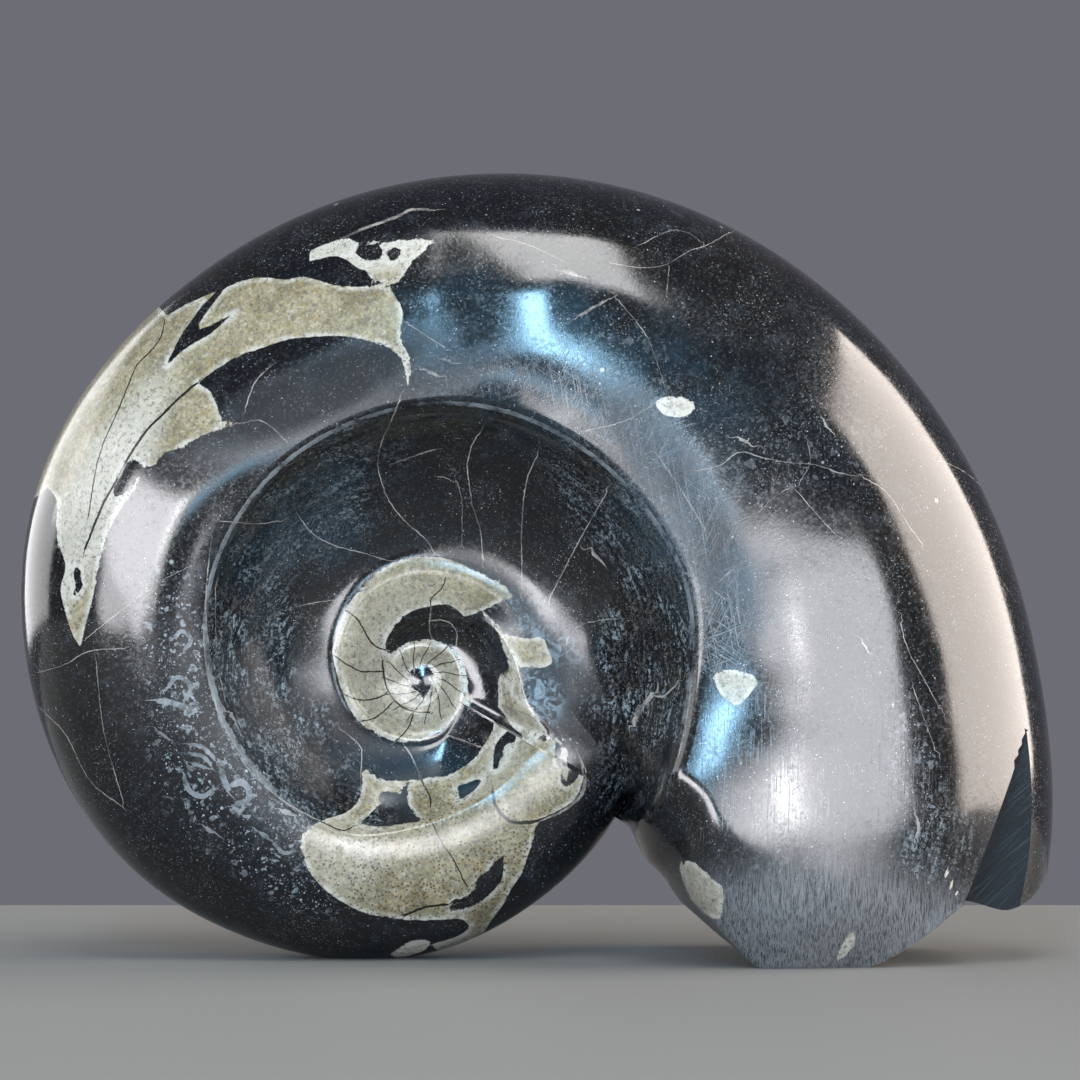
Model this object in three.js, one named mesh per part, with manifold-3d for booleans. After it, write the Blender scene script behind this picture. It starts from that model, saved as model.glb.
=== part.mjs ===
// A carved and polished goniatite: one solid piece of black limestone in which the
// fossil shell is worked free of its rock, so that it stands upright on its keel.
// Millimetres, +Z up. The coil axis lies along Y, and +Y is the far side of the shell.
//
// A place on the shell is given by its winding angle and its distance from the coil axis.
// The winding angle is 0 where the mouth meets the shell again, below and to the right of
// the axis, and runs back through the older turns as negative degrees.
import * as THREE from "three";
import { mergeVertices } from "three/addons/utils/BufferGeometryUtils.js";
import Module from "manifold-3d";

// Driving dimensions
const AXIS_X = -22.0; // the coil axis, from the middle of the shell's width
const AXIS_Z = 53.6; // and above the ground
const FULL_TURN = 360;
const FIRST_ANGLE = -720; // the innermost carved turn starts here
const ROW_STEP = 5; // degrees between two sections
const MOUTH_DIRECTION = -30; // direction of winding angle 0, from +X towards +Z
const TURN_RATIO = 0.352; // size of a turn against the next one
const THICKNESS_RATIO = 0.32; // half the shell's thickness against its radius
const WIDEST = 0.18; // share of the flank, from rim to keel, where it is thickest
const WIDEST_PLAIN = 0.02; // the same on the plain stretch, where the rim stays level
const PLAIN_BEGINS = [-178, -150]; // degrees over which that stretch begins
const PLAIN_ENDS = [-118, -100]; // and ends
const FLANK_POWER = 2.2; // 2 is an ellipse, more is squarer
const RIM_DROP = 0.035; // how much lower the rim is than the widest place
const RIM_REACH = 0.27; // share of the flank over which it drops
const RIM_POWER = 2.6; // how late it does so
const LEAST_COVE = 0.25; // the umbilical wall never gets narrower than this
const STEEPEST = 0.8; // slope of an inner turn's wall, past which its rim is sunk
const SINKS_OVER = [-440, -400]; // degrees over which the sinking of inner turns fades out
const SINK_REACH = 0.85; // share of an inner turn's flank that sinks with its rim
const LEAST_FLANK = 0.1; // the least width that an inner turn's flank counts as
const HUB_RISE = 0.6; // the middle of the coil stands a little proud

// Distance from the coil axis, by winding angle, of the three lines that run round the shell
const KEEL = [
  [0, 129.5], [-15, 125.8], [-30, 119.4], [-60, 111.8], [-90, 105.2], [-120, 97.2],
  [-150, 89.8], [-180, 84.6], [-210, 76.3], [-240, 68.2], [-265, 60.5], [-300, 53],
  [-330, 47.6], [-360, 45.2],
];
const RIM = [
  [0, 49], [-28, 50.4], [-55, 53.7], [-100, 54.1], [-140, 50.6], [-175, 46], [-213, 39.6],
  [-248, 34.7], [-264, 33.4], [-298, 27.3], [-320, 25], [-350, 24], [-366, 25.8],
  [-374, 21], [-386, 18.8], [-419, 17], [-466, 14.4], [-521, 10.4], [-559, 8.2],
  [-598, 7.2], [-645, 5.6], [-720, 3.6],
];
const SEAM = [
  [0, 45.2], [-9.5, 36], [-19, 28.9], [-26, 26.1], [-34, 24.8], [-61, 23.7], [-115, 23.6],
  [-148, 22.2], [-187, 18.8], [-225, 15.9], [-270, 13.4], [-314, 11.9], [-340, 9.6],
  [-373, 8.1], [-438, 8.5], [-472, 7.4], [-526, 7.4], [-569, 7.8], [-598, 6.9],
  [-645, 5.3], [-720, 3.3],
];

// The mouth: how far past angle 0 its edge reaches, by share of the flank from rim to keel,
// and how far the face bulges past that edge in the middle of its thickness
const MOUTH_EDGE = [
  [0, 0], [0.1, 3.4], [0.16, 7.6], [0.27, 9.7], [0.37, 10.2], [0.46, 8.6], [0.56, 5.4],
  [0.65, 1.4], [0.73, -4], [0.8, -8.2], [0.89, -8.6], [0.95, -10.2], [1, -13],
];
const MOUTH_BLEND = 45; // degrees over which the sections swing round to the mouth's edge
const MOUTH_BULGE = [[0, 5.5], [0.07, 6.5], [0.14, 3.6], [0.25, 1.2], [0.4, 0], [1, 0]];
const LIP_ROLL = 0.26; // share of its thickness that the flank loses as it rolls to the edge
const LIP_WIDTH = 13; // degrees over which it does so
const LIP_FADE = [0.55, 0.82]; // shares of the flank between which the lip loses its roll
const MOUTH_STEPS = 4; // facets through the thickness of the mouth's face

// The slot ground into the near side of the keel: its floor rises to nothing at the blind end
const SLOT_STATIONS = [
  { angle: -28.5, floor: 117.5, near: -19 },
  { angle: -22, floor: 114, near: -24.8 },
  { angle: -14, floor: 111.5, near: -28.2 },
  { angle: -8, floor: 110.8, near: -30 },
  { angle: 6, floor: 110.5, near: -33 },
];
const SLOT_FAR = -18.6; // the far wall, a plane square to the coil axis
const SLOT_OUTER = 150; // past the keel

// Shares of the umbilical wall and of the flank at which a section has a point
const COVE_SHARES = [0, 0.34, 0.64, 0.86];
const FLANK_SHARES = [0, 0.12, 0.27, 0.43, 0.59, 0.74, 0.87, 0.96, 1];
const GROUND_BOX = 500;

const { degToRad: radians, smoothstep, clamp } = THREE.MathUtils;

// A smooth curve through points that never swings past them (monotone cubic).
function curveThrough(points) {
  const p = [...points].sort((a, b) => a[0] - b[0]);
  const slope = p.slice(1).map((q, i) => (q[1] - p[i][1]) / (q[0] - p[i][0]));
  const tangent = p.map((_, i) => {
    if (i === 0) return slope[0];
    if (i === p.length - 1) return slope[i - 1];
    const [a, b] = [slope[i - 1], slope[i]];
    return a * b <= 0 ? 0 : (2 * a * b) / (a + b);
  });
  return (x) => {
    if (x <= p[0][0]) return p[0][1] + tangent[0] * (x - p[0][0]);
    const last = p.length - 1;
    if (x >= p[last][0]) return p[last][1] + tangent[last] * (x - p[last][0]);
    const i = p.findIndex((q) => q[0] > x) - 1;
    const h = p[i + 1][0] - p[i][0];
    const u = (x - p[i][0]) / h;
    const rise = p[i][1] * (1 + 2 * u) * (1 - u) ** 2 + p[i + 1][1] * u * u * (3 - 2 * u);
    return rise + h * u * (1 - u) * (tangent[i] * (1 - u) - tangent[i + 1] * u);
  };
}

const keelLine = curveThrough(KEEL);
const rimLine = curveThrough(RIM);
const seamLine = curveThrough(SEAM);
const mouthEdge = curveThrough(MOUTH_EDGE);
const mouthBulge = curveThrough(MOUTH_BULGE);

// Radius of the keel at an angle; inside the last turn it is the hidden keel of an older one.
function keelAt(angle) {
  return angle < -FULL_TURN ? TURN_RATIO * keelAt(angle + FULL_TURN) : keelLine(angle);
}

const seamAt = (angle) => seamLine(angle);
const rimAt = (angle) => Math.max(rimLine(angle), seamAt(angle) + LEAST_COVE);
const thickestAt = (angle) => THICKNESS_RATIO * keelAt(angle);

// 1 on the plain stretch low on the shell, and 0 away from it.
function plainAt(angle) {
  return smoothstep(angle, ...PLAIN_BEGINS) * (1 - smoothstep(angle, ...PLAIN_ENDS));
}

// Half thickness of a full flank, at a distance from the axis.
function fullFlank(angle, radius) {
  const share = (radius - rimAt(angle)) / (keelAt(angle) - rimAt(angle));
  const plain = plainAt(angle);
  const widest = WIDEST + plain * (WIDEST_PLAIN - WIDEST);
  const drop = RIM_DROP * (1 - plain) * (Math.max(0, RIM_REACH - share) / RIM_REACH) ** RIM_POWER;
  const out = clamp((share - widest) / (1 - widest), 0, 1);
  return thickestAt(angle) * ((1 - out ** FLANK_POWER) ** (1 / FLANK_POWER) - drop);
}

// Half thickness where the wall of a turn meets the flank of the turn inside it.
const seamHeight = (angle) => fullFlank(angle - FULL_TURN, seamAt(angle));

// Half thickness of the shell on its flank. An inner turn sinks where its wall would be too steep.
function flankHeight(angle, radius) {
  const [seam, rim] = [seamAt(angle), rimAt(angle)];
  const spare = fullFlank(angle, rim) - seamHeight(angle) - STEEPEST * (rim - seam);
  const sunk = Math.max(0, spare) * (1 - smoothstep(angle, ...SINKS_OVER));
  const reach = SINK_REACH * Math.max(seamAt(angle + FULL_TURN) - rim, LEAST_FLANK);
  return fullFlank(angle, radius) - sunk * (1 - smoothstep(radius, rim, rim + reach));
}

// A point of the near half of the shell as (radius, half thickness). The roll is the share of
// the flank's height that is left where the shell rounds over to its mouth.
function sectionPoint(angle, index, roll) {
  if (index < COVE_SHARES.length) {
    const share = COVE_SHARES[index];
    const [low, high] = [seamHeight(angle), roll * flankHeight(angle, rimAt(angle))];
    const climb = 1 - (1 - share ** 1.8) ** 0.8;
    return [seamAt(angle) + share * (rimAt(angle) - seamAt(angle)), low + climb * (high - low)];
  }
  const share = FLANK_SHARES[index - COVE_SHARES.length];
  const outer = angle < -FULL_TURN ? seamAt(angle + FULL_TURN) : keelAt(angle);
  const radius = rimAt(angle) + share * (outer - rimAt(angle));
  return [radius, roll * flankHeight(angle, radius)];
}

const POINTS = COVE_SHARES.length + FLANK_SHARES.length;
const ROWS = (0 - FIRST_ANGLE) / ROW_STEP + 1;
const TURN_ROWS = FULL_TURN / ROW_STEP;

const flankShare = (index) => Math.max(0, FLANK_SHARES[index - COVE_SHARES.length] ?? 0);

// A point of the shell by its row, its index in the section and its side, 1 near to -1 far.
// Near the mouth the rows swing to its edge, which the bulge moves out by some degrees more.
function shellPoint(row, index, side, bulge = 0) {
  const even = FIRST_ANGLE + row * ROW_STEP;
  const swing = smoothstep(even, -MOUTH_BLEND, 0);
  const share = flankShare(index);
  const lip = Math.max(0, 1 + even / LIP_WIDTH) ** 2;
  const roll = 1 - LIP_ROLL * lip * (1 - smoothstep(share, ...LIP_FADE));
  const angle = even + swing * mouthEdge(share);
  const [radius, height] = sectionPoint(angle, index, roll);
  return place(angle + bulge, radius, side * height);
}

function place(angle, radius, height) {
  const direction = radians(MOUTH_DIRECTION - angle);
  const x = AXIS_X + radius * Math.cos(direction);
  const z = AXIS_Z + radius * Math.sin(direction);
  return [x, -height, z];
}

// Both flanks, the walls between the turns, and the face of the mouth, as one closed mesh.
function shellGeometry() {
  const positions = [];
  const faces = [];
  const vertex = (p) => positions.push(...p) / 3 - 1;
  const span = (a, b) => Math.hypot(...[0, 1, 2].map((k) => positions[3 * a + k] - positions[3 * b + k]));
  // A quad is parted along its shorter diagonal.
  const quad = (a, b, c, d) => {
    if (span(a, c) < span(b, d)) faces.push(a, b, c, a, c, d);
    else faces.push(a, b, d, b, c, d);
  };

  for (const side of [1, -1]) {
    const face = (a, b, c, d) => (side > 0 ? quad(a, b, c, d) : quad(d, c, b, a));
    const rows = [];
    for (let row = 0; row < ROWS; row += 1) {
      const line = [];
      for (let index = 0; index < POINTS; index += 1) {
        line.push(vertex(shellPoint(row, index, side)));
      }
      rows.push(line);
    }
    for (let row = 0; row + 1 < ROWS; row += 1) {
      for (let index = 0; index + 1 < POINTS; index += 1) {
        const [near, far] = [rows[row], rows[row + 1]];
        face(near[index], near[index + 1], far[index + 1], far[index]);
      }
    }
    // The hub closes the innermost turn.
    const hub = vertex(place(0, 0, side * (seamHeight(FIRST_ANGLE) + HUB_RISE)));
    for (let row = 0; row < TURN_ROWS; row += 1) face(hub, rows[row][0], rows[row + 1][0], hub);
    for (let index = 0; index + 1 < POINTS; index += 1) {
      face(hub, rows[0][index + 1], rows[0][index], hub);
    }
  }

  // The mouth's face runs through the thickness between the two edges.
  const bulged = (index, step) => {
    const side = 1 - (2 * step) / MOUTH_STEPS;
    const bulge = index === 0 ? 0 : mouthBulge(flankShare(index)) * (1 - side * side);
    return shellPoint(ROWS - 1, index, side, bulge);
  };
  for (let index = 0; index + 1 < POINTS; index += 1) {
    for (let step = 0; step < MOUTH_STEPS; step += 1) {
      const corners = [[0, 0], [1, 0], [1, 1], [0, 1]];
      quad(...corners.map(([i, s]) => vertex(bulged(index + i, step + s))));
    }
  }
  return closedGeometry(positions, faces);
}

// A geometry whose equal corners are shared and whose collapsed triangles are dropped.
function closedGeometry(positions, faces) {
  const loose = new THREE.BufferGeometry();
  loose.setAttribute("position", new THREE.Float32BufferAttribute(positions, 3));
  loose.setIndex(faces);
  const merged = mergeVertices(loose, 1e-3);
  const kept = [];
  const index = merged.index.array;
  for (let i = 0; i < index.length; i += 3) {
    const [a, b, c] = [index[i], index[i + 1], index[i + 2]];
    if (a !== b && b !== c && a !== c) kept.push(a, b, c);
  }
  merged.setIndex(kept);
  return merged;
}

// The tapering slot, as a loft of rectangles along the keel.
function slotGeometry() {
  const positions = [];
  const faces = [];
  for (const { angle, floor, near } of SLOT_STATIONS) {
    positions.push(...place(angle, floor, -SLOT_FAR), ...place(angle, floor, -near));
    positions.push(...place(angle, SLOT_OUTER, -near), ...place(angle, SLOT_OUTER, -SLOT_FAR));
  }
  const last = 4 * (SLOT_STATIONS.length - 1);
  faces.push(0, 1, 2, 0, 2, 3, last, last + 2, last + 1, last, last + 3, last + 2);
  for (let s = 0; s < last; s += 4) {
    for (let k = 0; k < 4; k += 1) {
      const [a, b] = [s + k, s + ((k + 1) % 4)];
      faces.push(a, a + 4, b + 4, a, b + 4, b);
    }
  }
  return closedGeometry(positions, faces);
}

function groundGeometry() {
  const box = new THREE.BoxGeometry(GROUND_BOX, GROUND_BOX, GROUND_BOX);
  box.translate(0, 0, -GROUND_BOX / 2);
  box.deleteAttribute("normal");
  box.deleteAttribute("uv");
  return mergeVertices(box);
}

const wasm = await Module();
wasm.setup();

function solid(geometry) {
  const mesh = new wasm.Mesh({
    numProp: 3,
    vertProperties: new Float32Array(geometry.attributes.position.array),
    triVerts: new Uint32Array(geometry.index.array),
  });
  const made = new wasm.Manifold(mesh);
  if (made.volume() > 0) return made;
  mesh.triVerts.reverse();
  return new wasm.Manifold(mesh);
}

function toGeometry(manifold) {
  const mesh = manifold.getMesh();
  const geometry = new THREE.BufferGeometry();
  geometry.setAttribute("position", new THREE.BufferAttribute(mesh.vertProperties, 3));
  geometry.setIndex(new THREE.BufferAttribute(mesh.triVerts, 1));
  geometry.computeVertexNormals();
  return geometry;
}

// The ground cut leaves two small flats, under the coil and under the lip of the mouth.
const carved = solid(shellGeometry())
  .subtract(solid(slotGeometry()))
  .subtract(solid(groundGeometry()));

const polishedLimestone = new THREE.MeshStandardMaterial({
  color: 0x17181b,
  roughness: 0.12,
  metalness: 0,
});
const shell = new THREE.Mesh(toGeometry(carved), polishedLimestone);
shell.name = "goniatite_shell";

const part = new THREE.Group();
part.add(shell);

export default part;
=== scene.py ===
"""Looks of a carved and polished goniatite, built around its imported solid.

The shell is one piece of black limestone with the chambers of the fossil filled by calcite.
Positions are metres in the frame of the solid; sizes in the classes are millimetres.
"""

import logging
import math
from dataclasses import dataclass, field
from enum import Enum
from functools import partial
from typing import Callable, Sequence

import bmesh
import bpy
import numpy as np
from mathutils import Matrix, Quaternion, Vector


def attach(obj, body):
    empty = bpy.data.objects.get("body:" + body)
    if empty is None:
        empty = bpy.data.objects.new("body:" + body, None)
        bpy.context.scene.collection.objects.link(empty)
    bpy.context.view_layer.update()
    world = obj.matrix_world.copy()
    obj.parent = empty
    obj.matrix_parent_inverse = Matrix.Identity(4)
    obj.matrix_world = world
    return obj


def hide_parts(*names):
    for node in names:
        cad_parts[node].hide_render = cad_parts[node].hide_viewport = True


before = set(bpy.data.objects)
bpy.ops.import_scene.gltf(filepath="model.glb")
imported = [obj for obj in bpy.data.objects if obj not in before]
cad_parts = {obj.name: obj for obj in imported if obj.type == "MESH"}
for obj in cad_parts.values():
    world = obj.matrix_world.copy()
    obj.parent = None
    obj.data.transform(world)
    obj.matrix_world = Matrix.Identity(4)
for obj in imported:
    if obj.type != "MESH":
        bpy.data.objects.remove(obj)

LOG = logging.getLogger("goniatite")
MM = 0.001
NODE = "goniatite_shell"
Point = tuple[float, float]


def linear(code: str) -> tuple[float, float, float, float]:
    """Turns an sRGB hex colour into a linear one.

    Args:
        code: Six hex digits after a hash.

    Returns:
        Red, green, blue and an alpha of 1.
    """
    parts = [int(code[k : k + 2], 16) / 255 for k in (1, 3, 5)]
    rgb = [c / 12.92 if c <= 0.04045 else ((c + 0.055) / 1.055) ** 2.4 for c in parts]
    return rgb[0], rgb[1], rgb[2], 1.0


def curve_through(points: Sequence[Point], soft: float = 0.0) -> Callable[[np.ndarray], np.ndarray]:
    """Makes a smooth curve through points that never swings past them.

    Args:
        points: Places along the curve and the values there.
        soft: Distance over which the curve is evened out, 0 for none.

    Returns:
        A function of an array of places.
    """
    x, y = np.array(sorted(points), float).T
    slope = np.diff(y) / np.diff(x)
    a, b = slope[:-1], slope[1:]
    inner = np.where(a * b <= 0, 0.0, 2 * a * b / np.where(a + b == 0, 1, a + b))
    tangent = np.concatenate([slope[:1], inner, slope[-1:]])

    def bare(at: np.ndarray) -> np.ndarray:
        """Reads the curve, which runs on straight past its ends."""
        i = np.clip(np.searchsorted(x, at, side="right") - 1, 0, len(x) - 2)
        h = x[i + 1] - x[i]
        u = np.clip((at - x[i]) / h, 0, 1)
        rise = y[i] * (1 + 2 * u) * (1 - u) ** 2 + y[i + 1] * u * u * (3 - 2 * u)
        rise = rise + h * u * (1 - u) * (tangent[i] * (1 - u) - tangent[i + 1] * u)
        past = np.where(at < x[0], tangent[0] * (at - x[0]), 0.0)
        return rise + past + np.where(at > x[-1], tangent[-1] * (at - x[-1]), 0.0)

    def evened(at: np.ndarray) -> np.ndarray:
        """Reads the curve averaged over the places around each one."""
        steps = np.linspace(-1.5, 1.5, 7)
        weights = np.exp(-(steps**2))
        total = sum(w * bare(at + s * soft) for w, s in zip(weights, steps))
        return total / weights.sum()

    return evened if soft else bare


def smoothstep(value: np.ndarray, low: float, high: float) -> np.ndarray:
    """Eases from 0 at low to 1 at high."""
    t = np.clip((value - low) / (high - low), 0, 1)
    return t * t * (3 - 2 * t)


@dataclass(frozen=True)
class ShellForm:
    """The coiled shape: three lines that run round the shell, and the sections between them.

    A place is given by its winding angle, 0 at the mouth and negative towards the hub, and by
    its column from the seam of its turn, over the rim, to its outer edge.
    """

    # Where the coil axis stands, which way the mouth points, and how one turn shrinks to the next.
    axis: Point = (-22.0, 53.6)
    mouth_direction: float = -30.0
    turn: float = 360.0
    turn_ratio: float = 0.352
    # The flank: its half thickness over the keel's radius, where it is widest, and how its rim drops.
    thickness_ratio: float = 0.32
    widest: Point = (0.18, 0.02)
    rim_drop: float = 0.035
    rim_drop_power: float = 2.6
    plain_rim: tuple[float, float, float, float] = (-178.0, -150.0, -118.0, -100.0)
    flank_power: float = 2.2
    # The wall of the umbilicus, and how far the narrow inner turns are sunk.
    least_cove: float = 0.25
    cove_powers: Point = (1.8, 0.8)
    steepest: float = 0.8
    steep_from: Point = (-400.0, -440.0)
    sunk_share: float = 0.85
    # The mouth: the degrees over which rows swing to its edge, and the roll of its lip.
    mouth_blend: float = 45.0
    lip_roll: float = 0.26
    lip_width: float = 13.0
    lip_fade: Point = (0.55, 0.82)
    hub_rise: float = 0.6
    # Columns of the mesh over the wall, over the flank, and over a whole inner turn.
    cove_columns: int = 16
    flank_columns: int = 60
    inner_columns: int = 14
    # Winding angles with the radius of the keel, the rim and the seam there.
    keel_points: tuple[Point, ...] = (
        (0, 129.5), (-15, 125.8), (-30, 119.4), (-60, 111.8), (-90, 105.2), (-120, 97.2),
        (-150, 89.8), (-180, 84.6), (-210, 76.3), (-240, 68.2), (-265, 60.5), (-300, 53),
        (-330, 47.6), (-360, 45.2),
    )
    rim_points: tuple[Point, ...] = (
        (0, 49), (-28, 50.4), (-55, 53.7), (-100, 54.1), (-140, 50.6), (-175, 46), (-213, 39.6),
        (-248, 34.7), (-264, 33.4), (-298, 27.3), (-320, 25), (-350, 24), (-366, 25.8),
        (-374, 21), (-386, 18.8), (-419, 17), (-466, 14.4), (-521, 10.4), (-559, 8.2),
        (-598, 7.2), (-645, 5.6), (-720, 3.6),
    )
    seam_points: tuple[Point, ...] = (
        (0, 45.2), (-9.5, 36), (-19, 28.9), (-26, 26.1), (-34, 24.8), (-61, 23.7), (-115, 23.6),
        (-148, 22.2), (-187, 18.8), (-225, 15.9), (-270, 13.4), (-314, 11.9), (-340, 9.6),
        (-373, 8.1), (-438, 8.5), (-472, 7.4), (-526, 7.4), (-569, 7.8), (-598, 6.9),
        (-645, 5.3), (-720, 3.3),
    )
    # Shares of the flank with the degrees by which the mouth's edge and its bulge lead or trail.
    mouth_edge: tuple[Point, ...] = (
        (0, 0), (0.1, 3.4), (0.16, 7.6), (0.27, 9.7), (0.37, 10.2), (0.46, 8.6), (0.56, 5.4),
        (0.65, 1.4), (0.73, -4), (0.8, -8.2), (0.89, -8.6), (0.95, -10.2), (1, -13),
    )
    mouth_bulge: tuple[Point, ...] = ((0, 5.5), (0.07, 6.5), (0.14, 3.6), (0.25, 1.2), (0.4, 0), (1, 0))
    # Shares of the flank's columns with the shares of its width, closer set towards the keel.
    column_shares: tuple[Point, ...] = (
        (0, 0), (0.25, 0.27), (0.5, 0.6), (0.7, 0.83), (0.85, 0.95), (0.93, 0.987), (1, 1),
    )

    def __post_init__(self) -> None:
        """Prepares the curves that the tables of points stand for."""
        line = {
            "keel_line": curve_through(self.keel_points, 6.0),
            "rim_line": curve_through(self.rim_points, 1.5),
            "seam_line": curve_through(self.seam_points, 1.5),
            "edge_line": curve_through(self.mouth_edge),
            "bulge_line": curve_through(self.mouth_bulge),
            "share_line": curve_through(self.column_shares),
        }
        for name, curve in line.items():
            object.__setattr__(self, name, curve)

    @property
    def columns(self) -> int:
        """Columns of the outer turn, from its seam to its keel."""
        return self.cove_columns + self.flank_columns

    def keel(self, angle: np.ndarray) -> np.ndarray:
        """Radius of the keel; inside the last turn it is the hidden keel of an older one.

        Args:
            angle: Winding angles.

        Returns:
            Distances from the coil axis.
        """
        radius = self.keel_line(np.maximum(angle, -self.turn))
        for back in (1, 2):
            older = angle < -self.turn * back
            inner = self.keel_line(np.maximum(angle + self.turn * back, -self.turn))
            radius = np.where(older, self.turn_ratio**back * inner, radius)
        return radius

    def seam(self, angle: np.ndarray) -> np.ndarray:
        """Radius of the valley between a turn and the one inside it."""
        return self.seam_line(angle)

    def rim(self, angle: np.ndarray) -> np.ndarray:
        """Radius of the shoulder where the flank breaks over into the umbilicus."""
        return np.maximum(self.rim_line(angle), self.seam(angle) + self.least_cove)

    def full_flank(self, angle: np.ndarray, radius: np.ndarray) -> np.ndarray:
        """Half thickness of the flank before its inner turns are sunk towards the hub.

        Args:
            angle: Winding angles.
            radius: Distances from the coil axis.

        Returns:
            Distances from the shell's middle plane.
        """
        rim, keel = self.rim(angle), self.keel(angle)
        share = (radius - rim) / (keel - rim)
        top = self.thickness_ratio * keel
        plain = smoothstep(angle, *self.plain_rim[:2]) * (1 - smoothstep(angle, *self.plain_rim[2:]))
        widest = self.widest[0] + plain * (self.widest[1] - self.widest[0])
        near = 1.5 * self.widest[0]
        drop = self.rim_drop * (1 - plain) * (np.clip(near - share, 0, None) / near) ** self.rim_drop_power
        out = np.clip((share - widest) / (1 - widest), 0, 1)
        return top * ((1 - out**self.flank_power) ** (1 / self.flank_power) - drop)

    def seam_height(self, angle: np.ndarray) -> np.ndarray:
        """Half thickness where a turn's wall meets the flank of the turn inside it."""
        return self.flank(angle - self.turn, self.seam(angle), deep=False)

    def flank(self, angle: np.ndarray, radius: np.ndarray, deep: bool = True) -> np.ndarray:
        """Half thickness of the shell on its flank.

        Args:
            angle: Winding angles.
            radius: Distances from the coil axis.
            deep: Whether inner turns are sunk where their wall is too narrow to climb.

        Returns:
            Distances from the shell's middle plane.
        """
        height = self.full_flank(angle, radius)
        if not deep:
            return height
        rim, seam = self.rim(angle), self.seam(angle)
        low = self.seam_height(angle)
        spare = self.full_flank(angle, rim) - low - self.steepest * (rim - seam)
        sunk = np.maximum(spare, 0) * smoothstep(angle, *self.steep_from)
        reach = self.sunk_share * np.maximum(self.seam(angle + self.turn) - rim, 0.1)
        return height - sunk * (1 - smoothstep(radius, rim, rim + reach))

    def section(
        self, angle: np.ndarray, column: np.ndarray, roll: np.ndarray
    ) -> tuple[np.ndarray, np.ndarray]:
        """Finds a point of the near half's section.

        Args:
            angle: Winding angles.
            column: Columns, 0 at the seam.
            roll: Share of the flank's height that is left where it rounds over to the mouth.

        Returns:
            Radii and half thicknesses.
        """
        seam, rim = self.seam(angle), self.rim(angle)
        cove = np.clip(column / self.cove_columns, 0, 1)
        low, high = self.seam_height(angle), roll * self.flank(angle, rim)
        foot, brow = self.cove_powers
        climb = 1 - (1 - cove**foot) ** brow
        outer = np.where(angle < -self.turn, self.seam(angle + self.turn), self.keel(angle))
        radius = rim + self.flank_share(column) * (outer - rim)
        on_cove = column <= self.cove_columns
        return (
            np.where(on_cove, seam + cove * (rim - seam), radius),
            np.where(on_cove, low + climb * (high - low), roll * self.flank(angle, radius)),
        )

    def flank_share(self, column: np.ndarray) -> np.ndarray:
        """Share of the flank, from rim to outer edge, at a column."""
        return self.share_line(np.clip((column - self.cove_columns) / self.flank_columns, 0, 1))

    def place(self, angle: np.ndarray, radius: np.ndarray, height: np.ndarray) -> np.ndarray:
        """Turns winding angle, radius and half thickness into points, in millimetres."""
        way = np.radians(self.mouth_direction - angle)
        x, z = self.axis[0] + radius * np.cos(way), self.axis[1] + radius * np.sin(way)
        return np.stack([x, -height, z], axis=-1)

    def shell_point(
        self, even: np.ndarray, column: np.ndarray, side: np.ndarray, bulge: bool = False
    ) -> np.ndarray:
        """Places a point of the flanks, the walls or the mouth's face.

        Args:
            even: Winding angles of the rows before they swing to the mouth's edge.
            column: Columns of the section.
            side: 1 on the near side to -1 on the far side.
            bulge: Whether the points lie on the mouth's face.

        Returns:
            Points in millimetres.
        """
        share = self.flank_share(column)
        swing = smoothstep(even, -self.mouth_blend, 0)
        lip = np.clip(1 + even / self.lip_width, 0, None) ** 2
        roll = 1 - self.lip_roll * lip * (1 - smoothstep(share, *self.lip_fade))
        angle = even + swing * self.edge_line(share)
        radius, height = self.section(angle, column, roll)
        if bulge:
            swell = self.bulge_line(share) * (1 - side**2)
            angle = angle + np.where(column > 0, swell, 0)
        return self.place(angle, radius, side * height)

    def hub_point(self, angle: np.ndarray, column: np.ndarray, side: float, inside: int) -> np.ndarray:
        """Places a point of the disc that closes the innermost turn.

        Args:
            angle: Winding angles of the innermost turn.
            column: Columns of the disc: the first few lie inside the turn's start.
            side: 1 near or -1 far.
            inside: How many columns lie inside the turn's start.

        Returns:
            Points in millimetres.
        """
        start = np.full_like(angle, -2 * self.turn)
        section = np.clip(column - inside, 0, None) * self.columns / self.inner_columns
        ring, level = self.section(start, section, np.ones_like(angle))
        core, foot = self.seam(start), self.seam_height(start)
        end, end_foot = self.seam(start + self.turn), self.seam_height(start + self.turn)
        open_share = (self.seam(angle) - core) / (end - core)
        rise_share = (self.seam_height(angle) - foot) / (end_foot - foot)
        within = np.clip(column / inside, 0, 1)
        radius = np.where(column < inside, within * core, core + (ring - core) * open_share)
        dome = foot + self.hub_rise * (1 - within**2)
        height = np.where(column < inside, dome, foot + (level - foot) * rise_share)
        return self.place(angle, radius, side * height)


# Columns from the start of one flat sheet to the start of the next.
SHEET_SPACING = 200


class Sheet(Enum):
    """Flat sheets that the surface is laid out on, by the column where each begins."""

    NEAR = 0
    FAR = SHEET_SPACING
    NEAR_HUB = 2 * SHEET_SPACING
    FAR_HUB = 3 * SHEET_SPACING
    MOUTH = 4 * SHEET_SPACING


@dataclass(frozen=True)
class Slot:
    """The slot ground into the near side of the keel, as rectangles along it.

    A station is a winding angle, the floor's distance from the coil axis, and the near edge's
    place across the shell. The far wall is flat, and the cutter reaches out past the keel.
    """

    stations: tuple[tuple[float, float, float], ...] = (
        (-28.5, 117.5, -19.0), (-22, 114, -24.8), (-14, 111.5, -28.2), (-8, 110.8, -30), (6, 110.5, -33),
    )
    far: float = -18.6
    outer: float = 150.0


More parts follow.
